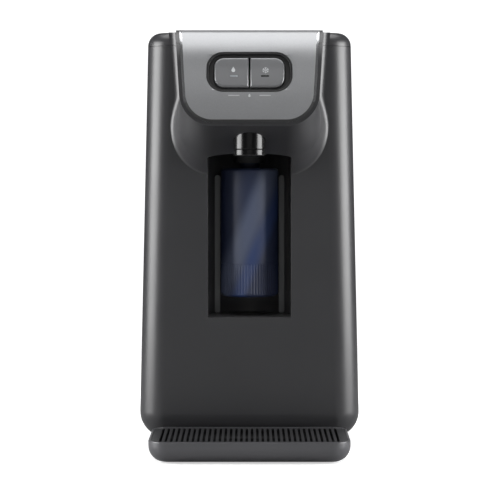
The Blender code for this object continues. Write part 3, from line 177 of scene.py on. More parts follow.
def gloss_black_abs():
    """Black ABS from a polished mould: deep and dark, with clear streaks of light."""
    return finished("gloss_black_abs", ("#060607", "#0A0A0B"), (0.2, 0.26), 50 * MM, 2 * MM, 0.002 * MM,
                    IOR=1.46)


def niche_abs_painted_light():
    """ABS of the filter pocket, half gloss, its colour painted paler than the black parts as painted light:
    its walls still show in the pocket's shade.
    """
    return finished("niche_abs_painted_light", ("#565658", "#5C5C5E"), (0.3, 0.36), 50 * MM, 1.5 * MM, 0.003 * MM,
                    IOR=1.53)


def rail_grey_abs():
    """Mid-grey ABS of the rails that guide the cartridge: satin, lighter than the pocket."""
    return finished("rail_grey_abs", ("#868889", "#8C8E8F"), (0.34, 0.4), 50 * MM, 1 * MM, 0.004 * MM,
                    IOR=1.53)


def satin_black_abs():
    """Black ABS from an etched mould: dark and even, with dim wide highlights."""
    return finished("satin_black_abs", ("#171718", "#1C1C1D"), (0.38, 0.46), 50 * MM, 0.7 * MM, 0.015 * MM,
                    IOR=1.53)


def grey_key_lacquer():
    """Button caps sprayed in mid-grey lacquer: a little metal in it, satin."""
    return finished("grey_key_lacquer", ("#6E6F71", "#747577"), (0.3, 0.35), 25 * MM, 0.5 * MM, 0.005 * MM,
                    IOR=1.5, Metallic=0.35, Coat_Weight=0.5, Coat_Roughness=0.16)


def printing_ink():
    """Pad-printed pale grey ink: thin, matt, a little uneven."""
    return finished("printing_ink", ("#B4B6B8", "#C2C4C6"), (0.45, 0.6), 3 * MM, 0.3 * MM, 0.004 * MM,
                    IOR=1.48)


def light_guide(name, colour):
    """Frosted polycarbonate light guide: smooth, slightly cloudy."""
    return finished(name, (colour, colour), (0.2, 0.3), 5 * MM, 0.5 * MM, 0.003 * MM,
                    IOR=1.58, Transmission_Weight=0.15)


def blue_film_painted_sheen():
    """Printed shrink film on the cartridge: satin, navy, with a paler band slanting across it that is a
    painted sheen.
    """
    made, tree, shader = new_material("blue_film_painted_sheen", IOR=1.5)
    place, mixed, _ = uneven_finish(tree, shader, ("#161F38", "#1A2542"), (0.5, 0.58), 30 * MM,
                                    1.5 * MM, 0.004 * MM)
    low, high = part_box("filter_cartridge")
    parts = add(tree, "ShaderNodeSeparateXYZ", {"Vector": place})
    slant = 0.42            # how far the band moves sideways for each unit of height
    lift = add(tree, "ShaderNodeMath", {0: parts.outputs["Z"], 1: -(low.z + high.z) / 2},
               operation="ADD")
    across = add(tree, "ShaderNodeMath", {0: lift.outputs[0], 1: -slant, 2: parts.outputs["X"]},
                 operation="MULTIPLY_ADD")
    tint = mixed.outputs[2]
    # The pale band, a painted sheen standing in for light on the can, lies on the middle line; the deep
    # blue one lies to its right.
    for middle, half, colour in ((16 * MM, 12 * MM, "#22345E"), (0.0, 16 * MM, "#4A5268")):
        away = add(tree, "ShaderNodeMath", {0: across.outputs[0], 1: middle}, operation="SUBTRACT")
        far = add(tree, "ShaderNodeMath", {0: away.outputs[0]}, operation="ABSOLUTE")
        band = add(tree, "ShaderNodeMapRange", {"Value": far.outputs[0], "From Min": 0.2 * half,
                                                "From Max": half, "To Min": 0.95, "To Max": 0.0},
                   interpolation_type="SMOOTHSTEP")
        blended = add(tree, "ShaderNodeMix", {"Factor": band.outputs["Result"], 6: tint,
                                              7: linear(colour)}, data_type="RGBA")
        tint = blended.outputs[2]
    tree.links.new(tint, shader.inputs["Base Color"])
    return made


def black_rubber():
    """Moulded black rubber: matt, with a dusty bloom."""
    return finished("black_rubber", ("#151515", "#1F1F1F"), (0.7, 0.85), 12 * MM, 0.8 * MM, 0.03 * MM,
                    IOR=1.52)


def white_acetal():
    """Moulded white acetal and polypropylene: waxy, slightly translucent."""
    return finished("white_acetal", ("#DEDED8", "#E6E6E0"), (0.35, 0.45), 20 * MM, 1 * MM, 0.01 * MM,
                    IOR=1.48, Subsurface_Weight=0.05)


def bead_foam():
    """Expanded polystyrene: matt white, with the outlines of its beads in relief."""
    made, tree, shader = new_material("bead_foam", IOR=1.3)
    place, _, _ = uneven_finish(tree, shader, ("#E9EAEA", "#F2F2F0"), (0.8, 0.95), 10 * MM,
                                1 * MM, 0.02 * MM)
    beads = add(tree, "ShaderNodeTexVoronoi", {"Vector": place, "Scale": 1 / (4 * MM)})
    relief = add(tree, "ShaderNodeBump", {"Height": beads.outputs["Distance"], "Distance": -0.4 * MM})
    tree.links.new(relief.outputs["Normal"], shader.inputs["Normal"])
    return made


def extruded_aluminium():
    """Bare extruded aluminium: fine die lines along its length."""
    made, tree, shader = new_material("extruded_aluminium", Metallic=1.0)
    place, _, _ = uneven_finish(tree, shader, ("#B9BABD", "#C4C5C7"), (0.3, 0.42), 30 * MM,
                                1 * MM, 0.01 * MM)
    stretched = add(tree, "ShaderNodeMapping", {"Vector": place, "Scale": (1.0, 1.0, 0.02)})
    lines = add(tree, "ShaderNodeTexNoise", {"Vector": stretched.outputs["Vector"],
                                             "Scale": 1 / (0.7 * MM)})
    relief = add(tree, "ShaderNodeBump", {"Height": lines.outputs["Fac"], "Distance": 0.02 * MM})
    tree.links.new(relief.outputs["Normal"], shader.inputs["Normal"])
    return made


def drawn_steel():
    """Drawn stainless steel: bright, with faint draw marks."""
    return finished("drawn_steel", ("#B2B1AE", "#BDBCB9"), (0.22, 0.34), 15 * MM, 0.6 * MM, 0.006 * MM,
                    Metallic=1.0)


def alumina():
    """Fired alumina plates of the thermoelectric module: white, matt, faintly speckled."""
    return finished("alumina", ("#DCDCD6", "#E8E8E2"), (0.5, 0.6), 6 * MM, 0.5 * MM, 0.01 * MM,
                    IOR=1.76)


def solder_mask():
    """Glass-epoxy circuit board under green solder mask: glossy, woven glass just showing."""
    return finished("solder_mask", ("#0E3B22", "#14472A"), (0.25, 0.35), 8 * MM, 0.6 * MM, 0.01 * MM,
                    IOR=1.55)


def clear_polyethylene():
    """Extruded food-grade polyethylene tube: milky, softly shiny."""
    return finished("clear_polyethylene", ("#C3CCD2", "#CFD8DD"), (0.25, 0.35), 20 * MM, 1 * MM, 0.01 * MM,
                    IOR=1.5, Transmission_Weight=0.35)


SHELL = graphite_abs()
SILVER = silver_lacquer()
TRAY_GREY_PAINTED_LIGHT = tray_abs_painted_light()
EDGE_POLISH_AND_HIGHLIGHT = polished_lacquer_painted_highlight()
GLOSS_BLACK = gloss_black_abs()
SATIN_BLACK = satin_black_abs()
NICHE_GREY_PAINTED_LIGHT = niche_abs_painted_light()
RAIL_GREY = rail_grey_abs()
KEYS = grey_key_lacquer()
INK = printing_ink()
LIT_GUIDE = light_guide("lit_light_guide", "#9DA2A6")
DARK_GUIDE = light_guide("dark_light_guide", "#1D1E20")
FILM_AND_SHEEN = blue_film_painted_sheen()
RUBBER = black_rubber()
ACETAL = white_acetal()
FOAM = bead_foam()
ALUMINIUM = extruded_aluminium()
STEEL = drawn_steel()
ALUMINA = alumina()
BOARD = solder_mask()
TUBING = clear_polyethylene()


# ---------------------------------------------------------------- shaping helpers

def link(name, mesh):
    made = bpy.data.objects.new(name, mesh)
    bpy.context.scene.collection.objects.link(made)
    return made


def from_shape(name, shape):
    """An object from a bmesh, its faces turned outwards."""
    bmesh.ops.recalc_face_normals(shape, faces=shape.faces)
    mesh = bpy.data.meshes.new(name)
    shape.to_mesh(mesh)
    shape.free()
    return link(name, mesh)


def settle(thing):
    """Fix an object's modifiers and place into its mesh."""
    bpy.context.view_layer.update()
    graph = bpy.context.evaluated_depsgraph_get()
    mesh = bpy.data.meshes.new_from_object(thing.evaluated_get(graph))
    mesh.transform(thing.matrix_world)
    thing.modifiers.clear()
    thing.data = mesh
    thing.matrix_world = Matrix.Identity(4)
    return thing


def combine(thing, operation, *tools):
    """Cut, join or trim a piece with tools, which are used up."""
    for tool in tools:
        step = thing.modifiers.new(tool.name, "BOOLEAN")
        step.operation = operation
        step.solver = "EXACT"
        step.object = tool
    settle(thing)
    for tool in tools:
        bpy.data.objects.remove(tool, do_unlink=True)
    return thing


def cut(thing, *tools):
    return combine(thing, "DIFFERENCE", *tools)


def join(thing, *tools):
    return combine(thing, "UNION", *tools)


def soften(thing, width, segments=3, angle=32):
    """Round the edges sharper than an angle in degrees, as a mould's are."""
    step = thing.modifiers.new("soft_edges", "BEVEL")
    step.width = width
    step.segments = segments
    step.limit_method = "ANGLE"
    step.angle_limit = math.radians(angle)
    step.use_clamp_overlap = True
    return thing


def present(thing, name, material, body, *nodes, slot=None, width=0.0, segments=3, angle=32):
    """Finish a piece: material, edges, smooth shading, the body it rides on and what it replaces."""
    thing.name = name
    thing.data.name = name
    thing.data.materials.clear()
    thing.data.materials.append(material)
    thing.data.shade_smooth()
    if width:
        soften(thing, width, segments, angle)
    else:
        thing.data.set_sharp_from_angle(angle=math.radians(angle))
    thing.modifiers.new("weighted", "WEIGHTED_NORMAL").keep_sharp = True
    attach(thing, body)
    if nodes:
        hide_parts(*nodes)
    return thing


def arc(centre, radius, start, end, steps):
    """Points along an arc in a plane, angles in degrees."""
    turn = [math.radians(start + (end - start) * i / steps) for i in range(steps + 1)]
    return [(centre[0] + radius * math.cos(a), centre[1] + radius * math.sin(a)) for a in turn]


def rounded_outline(half_width, half_height, radius, steps=12):
    """A rectangle with round corners about the origin, counter-clockwise."""
    x, y = half_width - radius, half_height - radius
    corners = ((x, y, 0), (-x, y, 90), (-x, -y, 180), (x, -y, 270))
    return [p for cx, cy, start in corners for p in arc((cx, cy), radius, start, start + 90, steps)]


def box(low, high, name="box"):
    shape = bmesh.new()
    low, high = Vector(low), Vector(high)
    place = Matrix.Translation((low + high) / 2) @ Matrix.Diagonal((*(high - low), 1))
    bmesh.ops.create_cube(shape, size=1, matrix=place)
    return from_shape(name, shape)


def slab(outlines, low, high, name="slab"):
    """A flat outline, with any holes, between two heights."""
    flat = bpy.data.curves.new(name, "CURVE")
    flat.dimensions = "2D"
    flat.fill_mode = "BOTH"
    flat.extrude = (high - low) / 2
    for outline in outlines:
        line = flat.splines.new("POLY")
        line.points.add(len(outline) - 1)
        for point, (x, y) in zip(line.points, outline):
            point.co = (x, y, 0, 1)
        line.use_cyclic_u = True
    curve = link(name, flat)
    bpy.context.view_layer.update()
    mesh = bpy.data.meshes.new_from_object(curve.evaluated_get(bpy.context.evaluated_depsgraph_get()))
    bpy.data.objects.remove(curve, do_unlink=True)
    shape = bmesh.new()
    shape.from_mesh(mesh)
    bmesh.ops.remove_doubles(shape, verts=shape.verts, dist=1e-6)
    bmesh.ops.dissolve_limit(shape, angle_limit=math.radians(0.5), verts=shape.verts, edges=shape.edges)
    bmesh.ops.translate(shape, verts=shape.verts, vec=(0, 0, (low + high) / 2))
    return from_shape(name, shape)


def turned(profile, place, axis=(0, 0, 1), steps=96, closed=False, name="turned", radius_at=None):
    """A turned solid from (radius, height) points; radius_at may flute it."""
    shape = bmesh.new()
    rows = []
    for radius, height in profile:
        count = 1 if radius == 0 else steps
        row = []
        for i in range(count):
            a = 2 * math.pi * i / steps
            r = radius_at(radius, height, a) if radius_at else radius
            row.append(shape.verts.new((r * math.cos(a), r * math.sin(a), height)))
        rows.append(row)
    pairs = list(zip(rows, rows[1:])) + ([(rows[-1], rows[0])] if closed else [])
    for low, high in pairs:
        for i in range(steps):
            j = (i + 1) % steps
            corners = (low[i % len(low)], low[j % len(low)], high[j % len(high)], high[i % len(high)])
            corners = list(dict.fromkeys(corners))
            if len(corners) > 2:
                shape.faces.new(corners)
    made = from_shape(name, shape)
    turn = Vector(axis).to_track_quat("Z", "Y").to_matrix().to_4x4()
    made.data.transform(Matrix.Translation(place) @ turn)
    return made


def cylinder(radius, start, end, steps=64):
    start, end = Vector(start), Vector(end)
    run = end - start
    return turned([(0, 0), (radius, 0), (radius, run.length), (0, run.length)], start, run, steps)


def mirrored(points):
    """A closed loop from its right half, which starts and ends beside the mirror plane."""
    return points + [(-x, y, z) for x, y, z in reversed(points)]


def join_rings(shape, low, high):
    """Faces between two closed loops of vertices."""
    for i in range(len(low)):
        j = (i + 1) % len(low)
        shape.faces.new((low[i], low[j], high[j], high[i]))


def loft(rings, name="loft"):
    """A closed skin over mirrored rings, with strips straight across closing both ends."""
    shape = bmesh.new()
    rows = [[shape.verts.new(point) for point in ring] for ring in rings]
    count = len(rows[0])
    for low, high in zip(rows, rows[1:]):
        join_rings(shape, low, high)
    for row in (rows[0], rows[-1]):
        for i in range(count // 2 - 1):
            shape.faces.new((row[i], row[i + 1], row[count - 2 - i], row[count - 1 - i]))
    return from_shape(name, shape)


# ---------------------------------------------------------------- shell

FAR = 0.4        # beyond every face of the purifier
CORNER_STEPS = 14
HEAD_SINK = 0.1 * MM


def body_half(z):
    """Half width of the body, which narrows evenly from foot to top."""
    return HALF_FOOT + (HALF_TOP - HALF_FOOT) * (z - FOOT_HEIGHT) / (BODY_TOP - FOOT_HEIGHT)


def plan_ring(half, front, back, radius, z, steps=CORNER_STEPS):
    """A rectangle with round corners, seen from above, at height z."""
    rear = arc((half - radius, back - radius), radius, 90, 0, steps)
    fore = arc((half - radius, front + radius), radius, 0, -90, steps)
    return mirrored([(x, y, z) for x, y in rear + fore])


def body_ring(z, inset):
    radius = max(CORNER - inset, SMALLEST_CORNER)
    return plan_ring(body_half(z) - inset, BODY_FRONT + inset, BODY_BACK - inset, radius, z)


def body_form(skin, steps=12):
    """The body's outer form, or its hollow when skin is the wall's thickness."""
    foot, crown = FOOT_ROUNDING - skin, CROWN_ROUNDING - skin
    start = math.asin((FOOT_ROUNDING - UNDERSIDE_INSET) / foot)
    rings = [body_ring(0.0, UNDERSIDE_INSET)] if skin else []
    for i in range(steps + 1):
        turn = start + (math.pi / 2 - start) * i / steps
        z = FOOT_HEIGHT + FOOT_ROUNDING - foot * math.cos(turn)
        rings.append(body_ring(z, FOOT_ROUNDING - foot * math.sin(turn)))
    for i in range(steps + 1):
        turn = math.pi / 2 * i / steps
        z = BODY_TOP - CROWN_ROUNDING + crown * math.sin(turn)
        rings.append(body_ring(z, CROWN_ROUNDING - crown * math.cos(turn)))
    return loft(rings, "body_form")


def head_rise(z):
    """Sine of the place on the fascia's quarter ellipse at height z."""
    return max(z - FASCIA_FOOT, 0.0) / HEAD_CURVE


def head_tilt(z):
    """How far the fascia leans back at height z, in radians."""
    rise = head_rise(z)
    return math.atan(HEAD_SWEEP / HEAD_CURVE * rise / math.sqrt(1 - rise ** 2))


def head_reach(z, below=0.0):
    """Distance from the body's front to a surface that lies below the fascia's face."""
    lean = math.sqrt(1 - head_rise(z) ** 2)
    return HEAD_REACH - HEAD_SWEEP * (1 - lean) - below / math.cos(head_tilt(z))


def head_outline(margin, top, steps):
    """Right half of the head's face: points, outward directions and closeness to its foot."""
    radius = FASCIA_CORNER + margin
    centre = (FASCIA_HALF - FASCIA_CORNER, CORNER_CENTRE)
    first, last = math.asin(head_rise(top)), math.asin(head_rise(CORNER_CENTRE))
    outline = []
    for i in range(steps):
        z = FASCIA_FOOT + HEAD_CURVE * math.sin(first + (last - first) * i / steps)
        outline.append(((FASCIA_HALF + margin + FASCIA_SLOPE * (z - CORNER_CENTRE), z), (1.0, 0.0), 0.0))
    for i, place in enumerate(arc(centre, radius, 0, -90, steps)):
        turn = math.pi / 2 * i / steps
        outline.append((place, (math.cos(turn), -math.sin(turn)), math.sin(turn) ** 2))
    return outline


def head_ring(progress, skin, steps, sink=0.0):
    """A ring of the head, from its fillet on the body (progress 0) to its face (1)."""
    ring = []
    for (x, z), (dx, dz), low in head_outline(HEAD_BAND - skin, HEAD_TOP - skin, steps):
        reach = head_reach(z, FASCIA_THICKNESS + GAP)
        turn = math.pi * min(progress, 0.5)
        side_out = HEAD_FILLET * (1 - math.sin(turn))
        side_reach = HEAD_FILLET * (1 - math.cos(turn))
        side_reach += (reach - HEAD_FILLET) * max(2 * progress - 1, 0)
        back = 1 - progress
        under_out = HEAD_SLOPE * (back ** 2 + 2 * SLOPE_START * progress * back)
        under_reach = reach * progress ** 2
        out = side_out + (under_out - side_out) * low
        forward = side_reach + (under_reach - side_reach) * low - skin - sink
        ring.append((x + dx * out, BODY_FRONT - forward, z + dz * out))
    return mirrored(ring)


def head_form(skin):
    """The head's outer form, or its hollow when skin is the wall's thickness."""
    steps, rings = (6, 8) if skin else (20, 28)
    root = head_ring(0, skin, steps, CROWN_ROUNDING + WALL)
    rest = [head_ring(i / rings, skin, steps, HEAD_SINK) for i in range(rings + 1)]
    return loft([root, *rest], "head_form")


BUTTON_CENTRE = BODY_TOP - 39 * MM
LEAN = (Matrix.Translation((0, BODY_FRONT - head_reach(BUTTON_CENTRE), BUTTON_CENTRE))
        @ Matrix.Rotation(math.pi / 2 - head_tilt(BUTTON_CENTRE), 4, "X"))
RECESS = (38.7 * MM, 19.6 * MM, 15.5 * MM)      # half width, half height, corner


def on_fascia(thing):
    """Place an object in the buttons' leaning frame: +Y up the fascia, +Z out of it."""
    thing.data.transform(LEAN)
    return thing


def recess_tool(inset=0.0, low=-30 * MM, high=10 * MM):
    outline = rounded_outline(*(value - inset for value in RECESS))
    return on_fascia(slab([outline], low, high, "recess"))


NICHE_LOW, NICHE_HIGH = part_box("filter_niche_liner")
NICHE_WALL = 2 * MM
NICHE_ARCH, NICHE_EAVES = 4.6 * MM, 2 * MM      # rise of the opening's arch, and its drop below the ceiling
LINTEL_REACH = 34 * MM          # how far forward the opening cuts into the head's underside
NICHE_RADIUS = NICHE_HIGH.x - NICHE_WALL
NICHE_FLOOR, NICHE_CEILING = NICHE_LOW.z + NICHE_WALL, NICHE_HIGH.z - NICHE_WALL
NOZZLE_LOW, NOZZLE_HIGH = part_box("nozzle_body")
TIP_LOW, TIP_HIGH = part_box("nozzle_tip")
NOZZLE_RADIUS = NOZZLE_HIGH.x
NOZZLE_Y = (NOZZLE_LOW.y + NOZZLE_HIGH.y) / 2


def niche_opening():
    """The arched cut through the housing's front."""
    side = NICHE_CEILING - NICHE_EAVES - NICHE_ARCH
    top = [(NICHE_RADIUS * math.cos(a), side + NICHE_ARCH * math.sin(a))
           for a in (math.pi * i / 40 for i in range(41))]
    foot = [(-NICHE_RADIUS, NICHE_FLOOR), (NICHE_RADIUS, NICHE_FLOOR)]
    opening = slab([top + foot], -BODY_FRONT - 3 * WALL, LINTEL_REACH - BODY_FRONT, "opening")
    opening.data.transform(Matrix.Rotation(math.pi / 2, 4, "X"))
    return opening


def niche_lintel():
    """Solid stretch of the head round the niche's top, so that its cut doesn't open the hollow."""
    half = NICHE_RADIUS + NICHE_WALL
    low = (-half, BODY_FRONT - LINTEL_REACH, FASCIA_FOOT - HEAD_BAND - HEAD_SLOPE - MM)
    high = (half, BODY_FRONT + WALL / 2, NICHE_HIGH.z)
    return combine(head_form(WALL / 2), "INTERSECT", box(low, high))


FAN_CENTRE, FAN_BORE = 195 * MM, 37 * MM
LOW_SLOTS, LOW_SLOT_HALF = 96 * MM, 45 * MM
SLOT_PITCH, SLOT_HALF, SLOT_CORNER = 8 * MM, 1.6 * MM, 1.5 * MM
PORT_HOLE, SCREW_HOLE, SCREW_BOSS = 7.3 * MM, 3.9 * MM, 6 * MM
SCREW_SEAT = REAR_SPLIT + 8 * MM


def seen_from_behind(node):
    """Middle of a CAD node across and up."""
    low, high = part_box(node)
    return (low.x + high.x) / 2, (low.z + high.z) / 2


def rear_screws():
    return [seen_from_behind(f"rear_screw_{corner}")
            for corner in ("lower_left", "lower_right", "upper_left", "upper_right")]


def rear_openings():
    """Tools for the fan slots, the lower air slots, the connections and the sunk screws."""
    back = BODY_BACK - 2 * WALL
    rows = [(FAN_CENTRE + SLOT_PITCH * i, math.sqrt(FAN_BORE ** 2 - (SLOT_PITCH * i) ** 2))
            for i in range(-4, 5)]
    rows += [(LOW_SLOTS + SLOT_PITCH * i, LOW_SLOT_HALF) for i in range(4)]
    tools = []
    for z, half in rows:
        slot = slab([rounded_outline(half, SLOT_HALF, SLOT_CORNER, 5)], -FAR, -back, "slot")
        slot.data.transform(Matrix.Translation((0, 0, z)) @ Matrix.Rotation(math.pi / 2, 4, "X"))
        tools.append(slot)
    for node in ("inlet_fitting", "drain_fitting", "cord_gland"):
        x, z = seen_from_behind(node)
        tools.append(cylinder(PORT_HOLE, (x, back, z), (x, BODY_BACK + MM, z)))
    for x, z in rear_screws():
        tools.append(cylinder(SCREW_HOLE, (x, SCREW_SEAT, z), (x, BODY_BACK + MM, z)))
    return tools


def keep_back_flat(piece):
    """Shade the flat back evenly: the edges round it don't share their normals with it."""
    shape = bmesh.new()
    shape.from_mesh(piece.data)
    for edge in shape.edges:
        flat = [face.normal.y > 0.9999 for face in edge.link_faces]
        if any(flat) and not all(flat):
            edge.smooth = False
    shape.to_mesh(piece.data)
    shape.free()


def shell():
    """Housing, rear cover and top cover, cut from one moulded form."""
    outer = combine(body_form(0.0), "UNION", head_form(0.0))
    inner = combine(body_form(WALL), "UNION", head_form(WALL))
    cut(outer, inner)
    join(outer, niche_lintel())
    spout_low, spout_high = (0, NOZZLE_Y, TIP_LOW.z), (0, NOZZLE_Y, FASCIA_FOOT + WALL)
    cut(outer, recess_tool(), cylinder(NOZZLE_RADIUS + GAP, spout_low, spout_high))
    cut(outer, niche_opening())
    stretches = {
        "housing_front": ((-FAR, -FAR, 0), (FAR, REAR_SPLIT, SEAM), "front_housing"),
        "cover_rear": ((-FAR, REAR_SPLIT + GAP, 0), (FAR, FAR, SEAM), "rear_cover"),
        "cover_top": ((-FAR, -FAR, SEAM + GAP), (FAR, FAR, FAR), "top_cover"),
    }
    for name, (low, high, node) in stretches.items():
        piece = combine(link(name, outer.data.copy()), "INTERSECT", box(low, high))
        if node == "rear_cover":
            for x, z in rear_screws():
                low, high = (x, REAR_SPLIT + GAP, z), (x, BODY_BACK - WALL / 2, z)
                join(piece, cylinder(SCREW_BOSS, low, high))
            cut(piece, *rear_openings())
        present(piece, name, SHELL, "cabinet", node, slot="shell", angle=30)
        if node == "rear_cover":
            keep_back_flat(piece)
    bpy.data.objects.remove(outer, do_unlink=True)


# ---------------------------------------------------------------- fascia and buttons

FASCIA_ROWS, FASCIA_COLUMNS = 96, 120
LIP_WIDTH, LIP_DEPTH = 4 * MM, 0.6 * MM
CHAMFER_WIDTH, CHAMFER_DEPTH = 2.4 * MM, 0.9 * MM
CHAMFER_SHADE_TOP = 18 * MM         # the chamfer is polished above this height, with a painted highlight; below it satin black is painted shade


def fascia_edge(share, margin, top):
    """Height and half width of the fascia's side at a share of the way from foot to top."""
    radius = FASCIA_CORNER + margin
    turning = 0.35          # share of the rows that go round the lower corner
    if share < turning:
        turn = math.pi / 2 * share / turning
        return (CORNER_CENTRE - radius * math.cos(turn),
                FASCIA_HALF - FASCIA_CORNER + radius * math.sin(turn))
    z = CORNER_CENTRE + (top - CORNER_CENTRE) * (share - turning) / (1 - turning)
    return z, FASCIA_HALF + margin + FASCIA_SLOPE * (z - CORNER_CENTRE)


def fascia_grid(margin, below):
    """Rows of points over the fascia, at a depth below its face."""
    top = HEAD_TOP + min(margin, 0)
    grid = []
    for i in range(FASCIA_ROWS + 1):
        z, half = fascia_edge(i / FASCIA_ROWS, margin, top)
        y = BODY_FRONT - head_reach(z, below)
        grid.append([(half * (2 * j / FASCIA_COLUMNS - 1), y, z) for j in range(FASCIA_COLUMNS + 1)])
    return grid


def rim_of(grid):
    """The vertices round a grid's edge, in order."""
    right = [row[-1] for row in grid[1:-1]]
    left = [row[0] for row in reversed(grid[1:-1])]
    return [*grid[0], *right, *reversed(grid[-1]), *left]


def distance_to_recess(u, v):
    """Distance in the leaning frame from the recess's edge, negative inside it."""
    half_width, half_height, radius = RECESS
    dx, dy = abs(u) - (half_width - radius), abs(v) - (half_height - radius)
    return math.hypot(max(dx, 0), max(dy, 0)) + min(max(dx, dy), 0) - radius


def on_chamfer(point):
    """Whether a point of the fascia lies on or outside its chamfer's inner edge, near its face."""
    depth = point.y - (BODY_FRONT - head_reach(point.z))
    inside = CHAMFER_WIDTH + 0.01 * MM
    if depth > CHAMFER_DEPTH + MM:
        return False
    if point.z >= CORNER_CENTRE:
        return abs(point.x) > FASCIA_HALF - inside + FASCIA_SLOPE * (point.z - CORNER_CENTRE)
    dx = max(abs(point.x) - (FASCIA_HALF - FASCIA_CORNER), 0)
    return math.hypot(dx, CORNER_CENTRE - point.z) > FASCIA_CORNER - inside


def fascia():
    """Silver panel on the head's curved face, chamfered, its recess edge rolled inwards."""
    shape = bmesh.new()
    levels = ((-CHAMFER_WIDTH, 0), (0, FASCIA_THICKNESS), (0, CHAMFER_DEPTH))
    face, back, side = [[[shape.verts.new(p) for p in row] for row in fascia_grid(margin, below)]
                        for margin, below in levels]
    for grid in (face, back):
        for low, high in zip(grid, grid[1:]):
            for j in range(FASCIA_COLUMNS):
                shape.faces.new((low[j], low[j + 1], high[j + 1], high[j]))
    rims = [rim_of(face), rim_of(side), rim_of(back)]
    for low, high in zip(rims, rims[1:]):
        join_rings(shape, low, high)
    bmesh.ops.delete(shape, geom=[v for v in shape.verts if not v.link_faces], context="VERTS")
    piece = cut(from_shape("fascia", shape), recess_tool())
    flat = LEAN.inverted()
    for vertex in piece.data.vertices:
        u, v, w = flat @ vertex.co
        share = 1 - distance_to_recess(u, v) / LIP_WIDTH
        if share > 0 and w > -FASCIA_THICKNESS / 2:
            vertex.co = LEAN @ Vector((u, v, w - LIP_DEPTH * min(share, 1) ** 2))
    present(piece, "fascia_panel", SILVER, "cabinet", "control_fascia", slot="fascia", angle=12)
    piece.data.materials.append(EDGE_POLISH_AND_HIGHLIGHT)
    piece.data.materials.append(SATIN_BLACK)
    # Chamfer faces high up take the polished lacquer with its painted highlight; those low down take satin
    # black as painted shade.
    for face in piece.data.polygons:
        if all(on_chamfer(piece.data.vertices[i].co) for i in face.vertices):
            face.material_index = 1 if face.center.z > FASCIA_FOOT + CHAMFER_SHADE_TOP else 2


PLAY = 0.5 * MM
BUTTON_WIDTH, BUTTON_HEIGHT, BUTTON_PARTING = 30.9 * MM, 29 * MM, 1.3 * MM
BUTTON_CORNER = 9 * MM
BUTTON_HALF = BUTTON_WIDTH + BUTTON_PARTING / 2
BUTTON_FRONT, BUTTON_BACK = -1 * MM, -12 * MM
STEM_RADIUS, STEM_END = 3 * MM, -22 * MM
SYMBOL_THICKNESS = 0.12 * MM
CAP_ROLL = 1.9 * MM
CAP_DOME = 1.4 * MM             # fall of the cap's face from its middle to its edges
LIGHT_SLIT = (3.6 * MM, 0.7 * MM, 0.65 * MM)    # half width, half height, corner
LIGHT_FLOOR = BUTTON_BACK + 4 * MM


def bezel():
    """Satin tub round both buttons, with a window in its floor."""
    front, floor, back, wall = -2.2 * MM, -5 * MM, -14 * MM, 1.8 * MM
    piece = recess_tool(GAP, back, front)
    cut(piece, recess_tool(GAP + wall, floor, 10 * MM), recess_tool(GAP + wall, -FAR, floor - 2 * MM))
    window = rounded_outline(BUTTON_HALF + PLAY, BUTTON_HEIGHT / 2 + PLAY, BUTTON_CORNER + PLAY)
    cut(piece, on_fascia(slab([window], -FAR, 10 * MM)))
    present(piece, "bezel_tub", SATIN_BLACK, "cabinet", "button_bezel", slot="trim", width=0.4 * MM)


def button_outline(side, inset=0.0):
    """One button: round outer corners, nearly square corners towards its neighbour."""
    inner = side * (BUTTON_PARTING / 2 + inset)
    outer = side * (BUTTON_HALF - inset)
    top, radius = BUTTON_HEIGHT / 2 - inset, BUTTON_CORNER - inset
    centre = outer - side * radius
    upper = arc((centre, top - radius), radius, 90, 90 - 90 * side, 16)
    lower = arc((centre, radius - top), radius, -90 + 90 * side, -90, 16)
    return [(inner, top), *upper, *lower, (inner, -top)]


def button_cap(side):
    """The cap, with a rolled front edge, from stacked outlines."""
    levels = [(0.0, BUTTON_BACK), (0.0, BUTTON_FRONT - CAP_ROLL)]
    levels += [(CAP_ROLL * (1 - math.cos(a)), BUTTON_FRONT - CAP_ROLL * (1 - math.sin(a)))
               for a in (math.pi / 2 * i / 5 for i in range(1, 6))]
    shape = bmesh.new()
    rings = [[shape.verts.new((x, y, z)) for x, y in button_outline(side, inset)]
             for inset, z in levels]
    for low, high in zip(rings, rings[1:]):
        join_rings(shape, low, high)
    shape.faces.new(rings[0])
    shape.faces.new(rings[-1])
    strips = 14
    for i in range(1, strips):
        level = BUTTON_HEIGHT * (i / strips - 0.5)
        geometry = [*shape.verts, *shape.edges, *shape.faces]
        bmesh.ops.bisect_plane(shape, geom=geometry, plane_co=(0, level, 0), plane_no=(0, 1, 0))
    for vertex in shape.verts:
        if vertex.co.z > BUTTON_FRONT - 2 * CAP_ROLL:
            vertex.co.z -= CAP_DOME * (2 * vertex.co.y / BUTTON_HEIGHT) ** 2
    return on_fascia(from_shape("cap", shape))


def drop_symbol():
    """A water drop, as used for still water."""
    radius = 1.7 * MM
    round_part = arc((0, 0), radius, -215, 35, 24)
    return [[*round_part, (0, 2.1 * radius)]]


def snowflake_symbol():
    """Six bars with side branches, as used for chilled water."""
    reach, half = 2.9 * MM, 0.22 * MM
    bars = []
    for i in range(6):
        a = math.pi / 3 * i + math.pi / 2
        along, across = Vector((math.cos(a), math.sin(a))), Vector((-math.sin(a), math.cos(a)))
        bars.append([along * reach - across * half, along * reach + across * half,
                     across * half + along * 0.3 * MM, -across * half + along * 0.3 * MM])
        for side in (-1, 1):
            root = along * reach * 0.55
            tip = root + (along + across * side * 0.9) * 1.0 * MM
            edge = Vector((-(tip - root).y, (tip - root).x)).normalized() * half
            bars.append([root - edge, root + edge, tip + edge, tip - edge])
    return [[tuple(p) for p in bar] for bar in bars]


